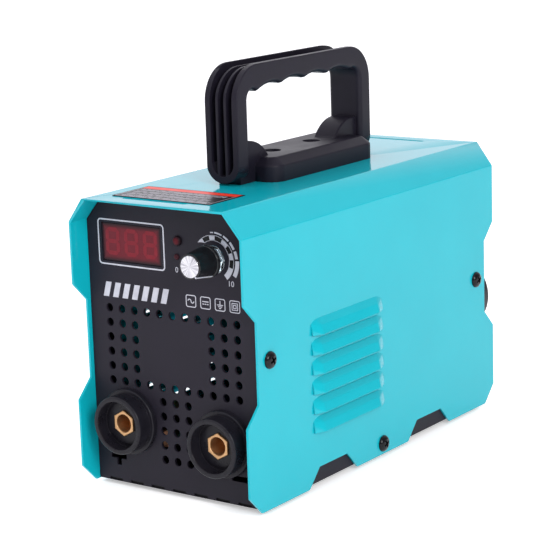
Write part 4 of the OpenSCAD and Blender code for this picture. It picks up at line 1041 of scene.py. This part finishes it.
def make_dial():
    """The dial round the knob: pale blocks with black gaps in a lined band, and marks that grow wider."""
    band_in, band_out, line, gap_in, gap_out, mark_in, number_h = 9.5, 12.4, 0.25, 9.9, 12.0, 13.3, 2.8
    high_place, low_place = (38.4, 117.2), (4.6, 121.0)
    wedge, lined = (309, 326), (326, 468)
    blocks = ((348, 365), (388, 409), (429, 446), (468, 500))
    gaps = ((327, 347), (366, 387), (410, 428), (447, 467))
    marks = ((353, 361), (364, 383), (387, 403), (407, 424), (428, 444), (448, 481))
    widths = (0.6, 0.8, 1.0, 1.3, 1.7, 2.3)
    pale, black = [], []
    pale.append(taper_arc(print_arc("dial_wedge", band_in, band_out, *wedge), band_in, band_out, *wedge))
    for i, ends in enumerate(blocks):
        pale.append(print_arc("dial_block_%d" % (i + 1), band_in, band_out, *ends))
    for i, ends in enumerate(gaps):
        black.append(print_arc("dial_gap_%d" % (i + 1), gap_in, gap_out, *ends))
    pale.append(print_arc("dial_inner_line", band_in, band_in + line, *lined))
    pale.append(print_arc("dial_outer_line", band_out - line, band_out, *lined))
    for i, (ends, width) in enumerate(zip(marks, widths)):
        pale.append(print_arc("dial_mark_%d" % (i + 1), mark_in, mark_in + width, *ends))
    pale.append(print_number("dial_number_high", "10", *high_place, number_h))
    pale.append(print_number("dial_number_low", "0", *low_place, number_h))
    return pale, black


def make_display_frame():
    """The outline round the display's window."""
    side_gap, end_gap, corner_r, line = 2.4, 2.1, 2.2, 0.75
    low, high = window_low / mm, window_high / mm
    return print_frame("display_frame", low.x - side_gap, low.z - end_gap,
                       high.x + side_gap, high.z + end_gap, corner_r, line)


def make_slanted_bars():
    """A row of seven slanted bars under the display."""
    bar_count, first_x, pitch, width, lean, low_z, high_z = 7, -44.6, 6.3, 3.6, 2.2, 102.6, 110.4
    bars = []
    for i in range(bar_count):
        x = first_x + pitch * i
        bar = print_block("slanted_bar_%d" % (i + 1), x, low_z, x + width, high_z)
        edit(bar, "VERT", lambda p: p.z > (low_z + high_z) / 2 * mm)
        bpy.ops.transform.translate(value=(lean * mm, 0, 0))
        alone(bar)
        bars.append(bar)
    return bars


sign_half = 1.9


def print_wave(x, z):
    """The sign for alternating current: two half circles."""
    half_wave, line = 1.85, 0.45
    halves = []
    for i, side in enumerate((-1, 1)):
        start_x = x + (i - 1) * half_wave
        alone()
        bpy.ops.mesh.primitive_plane_add(size=1, location=(start_x * mm, ink_middle, z * mm))
        bpy.context.object.scale = (line * mm, ink_t, 1)
        wave = settle("wave_half_%d" % (i + 1))
        edit(wave, "FACE", every)
        swing(-side * math.pi, ((start_x + half_wave / 2) * mm, 0, z * mm), (0, 1, 0))
        halves.append(smooth(wave, 30))
    return halves


def print_steady(x, z):
    """The sign for direct current: a line over three dashes."""
    near_z, far_z, dash_l, dash_pitch = 0.4, 0.9, 1.0, 1.4
    bars = [print_block("steady_line", x - sign_half, z + near_z, x + sign_half, z + far_z)]
    for i in range(3):
        left = x - sign_half + dash_pitch * i
        bars.append(print_block("steady_dash_%d" % (i + 1), left, z - far_z, left + dash_l, z - near_z))
    return bars


def print_earth(x, z):
    """The sign for earth: a stem over three bars that grow shorter."""
    stem_half, stem_h, bar_drop, bar_pitch, bar_t = 0.22, 2.1, 0.3, 0.85, 0.42
    bars = [print_block("earth_stem", x - stem_half, z, x + stem_half, z + stem_h)]
    for i, half in enumerate((sign_half, 1.25, 0.6)):
        low = z - bar_drop - bar_pitch * i
        bars.append(print_block("earth_bar_%d" % (i + 1), x - half, low, x + half, low + bar_t))
    return bars


def print_insulation(x, z):
    """The sign for double insulation: a square in a square."""
    line = 0.4
    squares = []
    for name, half, corner_r in (("insulation_outer", sign_half, 0.3), ("insulation_inner", 1.0, 0.2)):
        squares.append(print_frame(name, x - half, z - half, x + half, z + half, corner_r, line))
    return squares


def make_symbols():
    """Four small squares, each with a common electrical sign."""
    first_x, pitch, low_z, width, height, corner_r, line = 9.6, 9.13, 102.7, 6.5, 6.4, 1.2, 0.45
    signs = (print_wave, print_steady, print_earth, print_insulation)
    lefts = [first_x + pitch * i for i in range(len(signs))]
    made = []
    for i, x in enumerate(lefts):
        name = "symbol_square_%d" % (i + 1)
        made.append(print_frame(name, x, low_z, x + width, low_z + height, corner_r, line))
    for print_sign, x in zip(signs, lefts):
        made += print_sign(x + width / 2, low_z + height / 2)
    return made


display_frame = make_display_frame()
pale_prints, black_prints = make_dial()
for piece in [display_frame] + pale_prints + make_slanted_bars() + make_symbols():
    fit(piece, pale_ink, "label_print")
for piece in black_prints:
    fit(piece, black_ink_and_shade, "label_print")


# The display: a polished red window that shows three unlit digits

def make_display():
    glass_round = 0.35 * mm
    window = block("display_glass", window_low, window_high)
    round_edges(window, lambda a, b: max(a.y, b.y) < window_low.y + near, glass_round, 3)
    smooth(window, 35)
    fit(window, red_filter, "red_window", "case", "display_window")
    digit_w, digit_h, digit_pitch, stroke, gap = 7.0 * mm, 12.2 * mm, 12.3 * mm, 2.1 * mm, 0.12 * mm
    lift, proud, sunk, tip_share = 0.5 * mm, 0.03 * mm, 0.1 * mm, 0.48
    half_w, half_h, half_s = digit_w / 2, digit_h / 2, stroke / 2
    bars = [(-half_w + gap, z - half_s, half_w - gap, z + half_s) for z in (-half_h, 0.0, half_h)]
    for x in (-half_w, half_w):
        for z in (-half_h, 0.0):
            bars.append((x - half_s, z + gap, x + half_s, z + half_h - gap))
    middle = (window_low + window_high) / 2 + Vector((0, 0, lift))
    count = 0
    for digit in (-1, 0, 1):
        x = middle.x + digit * digit_pitch
        for x0, z0, x1, z1 in bars:
            count += 1
            bar = block("digit_bar_%d" % count, (x + x0, window_low.y - proud, middle.z + z0),
                        (x + x1, window_low.y + sunk, middle.z + z1))
            round_edges(bar, upright, tip_share * stroke, 1)
            fit(bar, dim_segment, "red_window")


make_display()


# The two lamps: rods with low domes

def make_lamps():
    rim_share = 0.25
    dome_steps = ((0.10, 0.24), (0.18, 0.20), (0.24, 0.14), (0.28, 0.08))
    for lamp, look in (("power_led", red_lens), ("fault_led", dark_lens)):
        low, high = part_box(lamp)
        radius = (high.x - low.x) / 2
        dome = rod(lamp + "_lens", "y", (low + high) / 2, radius, panel_y - rim_share * radius, high.y, 48)
        edit(dome, "FACE", facing(y=-1))
        for inward, rise in dome_steps:
            bpy.ops.mesh.inset(thickness=inward * radius, depth=rise * radius)
        smooth(dome, 50)
        fit(dome, look, "red_lamp", "case", lamp)


make_lamps()


# The rocker's marks: a bar for on and a ring for off

def make_rocker_marks():
    low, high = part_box("power_switch_rocker")
    middle_z = (low.z + high.z) / 2
    ink, lean = 0.05 * mm, math.radians(22)
    bar_half, bar_h, bar_up, bar_round = 0.5 * mm, 4.6 * mm, 4.4 * mm, 0.45 * mm
    bar_low, bar_high = middle_z + bar_up - bar_h / 2, middle_z + bar_up + bar_h / 2
    on_mark = block("on_mark", (-bar_half, high.y - ink, bar_low), (bar_half, high.y + ink, bar_high))
    round_edges(on_mark, upright, bar_round, 3)
    ring_r, line, ring_back, ring_down, past = 2.4 * mm, 0.8 * mm, 2.19 * mm, 6.86 * mm, 1 * mm
    place = Vector((0, high.y - ring_back, middle_z - ring_down))
    off_mark = rod("off_mark", "y", place, ring_r, place.y - ink, place.y + ink, 48)
    carve(off_mark, rod("ring_inside", "y", place, ring_r - line, place.y - past, place.y + past, 48))
    turned(off_mark, -lean, place, (1, 0, 0))
    for mark in (on_mark, off_mark):
        fit(smooth(mark, 35), pale_ink, "label_print", "rocker")


make_rocker_marks()


# The studio: a pale floor, soft light from the right and above, and the photograph's viewpoint

def make_floor():
    floor_w, floor_drop, glow = 30, 0.05 * mm, 0.42
    alone()
    bpy.ops.mesh.primitive_plane_add(size=floor_w, location=(0, 0, -floor_drop))
    floor = settle("studio_floor")
    pale = finish(
        "pale_floor", dark=(0.90, 0.90, 0.90), light=(0.92, 0.92, 0.92), rough=(0.55, 0.65),
        grain=3 * mm, depth=0.01 * mm, patch=400 * mm, edge=0.1 * mm, shine=0.2)
    shader = pale.node_tree.nodes["Principled BSDF"]
    shader.inputs["Emission Color"].default_value = (1, 1, 1, 1)
    shader.inputs["Emission Strength"].default_value = glow
    wear(floor.data, pale)


def light_room():
    """The room's own light, which is brightest up and to the left behind the machine."""
    bright_side, full_at = (-0.70, 0.35, 0.62), 0.75
    dim, bright, white = 0.28, 1.22, (1.0, 0.985, 1.05, 1)
    world = bpy.data.worlds.new("studio")
    bpy.context.scene.world = world
    world.use_nodes = True
    tree = world.node_tree
    back = tree.nodes["Background"]
    look = node(tree, "TexCoord").outputs["Generated"]
    toward = node(tree, "VectorMath", {0: look, 1: bright_side}, operation="DOT_PRODUCT").outputs["Value"]
    tree.links.new(spread(tree, toward, 0.0, full_at, dim, bright), back.inputs["Strength"])
    back.inputs["Color"].default_value = white


def softbox(name, place, aim, size, power):
    """A square lamp that looks at a place."""
    alone()
    bpy.ops.object.light_add(type="AREA", location=place)
    lamp = bpy.context.object
    lamp.name = name
    lamp.data.shape = "SQUARE"
    lamp.data.size = size
    lamp.data.energy = power
    lamp.rotation_euler = (Vector(aim) - Vector(place)).to_track_quat("-Z", "Y").to_euler()


def place_camera():
    """The photograph's viewpoint."""
    place, lens, sensor_w = (0.60382, -0.85602, 0.32648), 125.06, 36
    yaw, pitch, roll = 0.6227, -0.2186, -0.0315
    ahead = Vector((-math.sin(yaw) * math.cos(pitch), math.cos(yaw) * math.cos(pitch), math.sin(pitch)))
    right = ahead.cross(Vector((0, 0, 1))).normalized()
    up = right.cross(ahead)
    level_x = math.cos(roll) * right + math.sin(roll) * up
    level_y = -math.sin(roll) * right + math.cos(roll) * up
    alone()
    bpy.ops.object.camera_add(location=place)
    camera = bpy.context.object
    camera.name = "photo_view"
    camera.rotation_euler = Matrix((level_x, level_y, -ahead)).transposed().to_euler()
    camera.data.lens = lens
    camera.data.sensor_width = sensor_w
    bpy.context.scene.camera = camera
    bpy.context.scene.view_settings.view_transform = "Standard"


make_floor()
light_room()
softbox("right_softbox", place=(1.65, -0.95, 1.05), aim=(0, 0, 0.08), size=0.8, power=27.5)
softbox("top_softbox", place=(0.1, -1.4, 1.7), aim=(0, 0, 0.1), size=1.6, power=10)
place_camera()
alone()
bpy.context.view_layer.update()
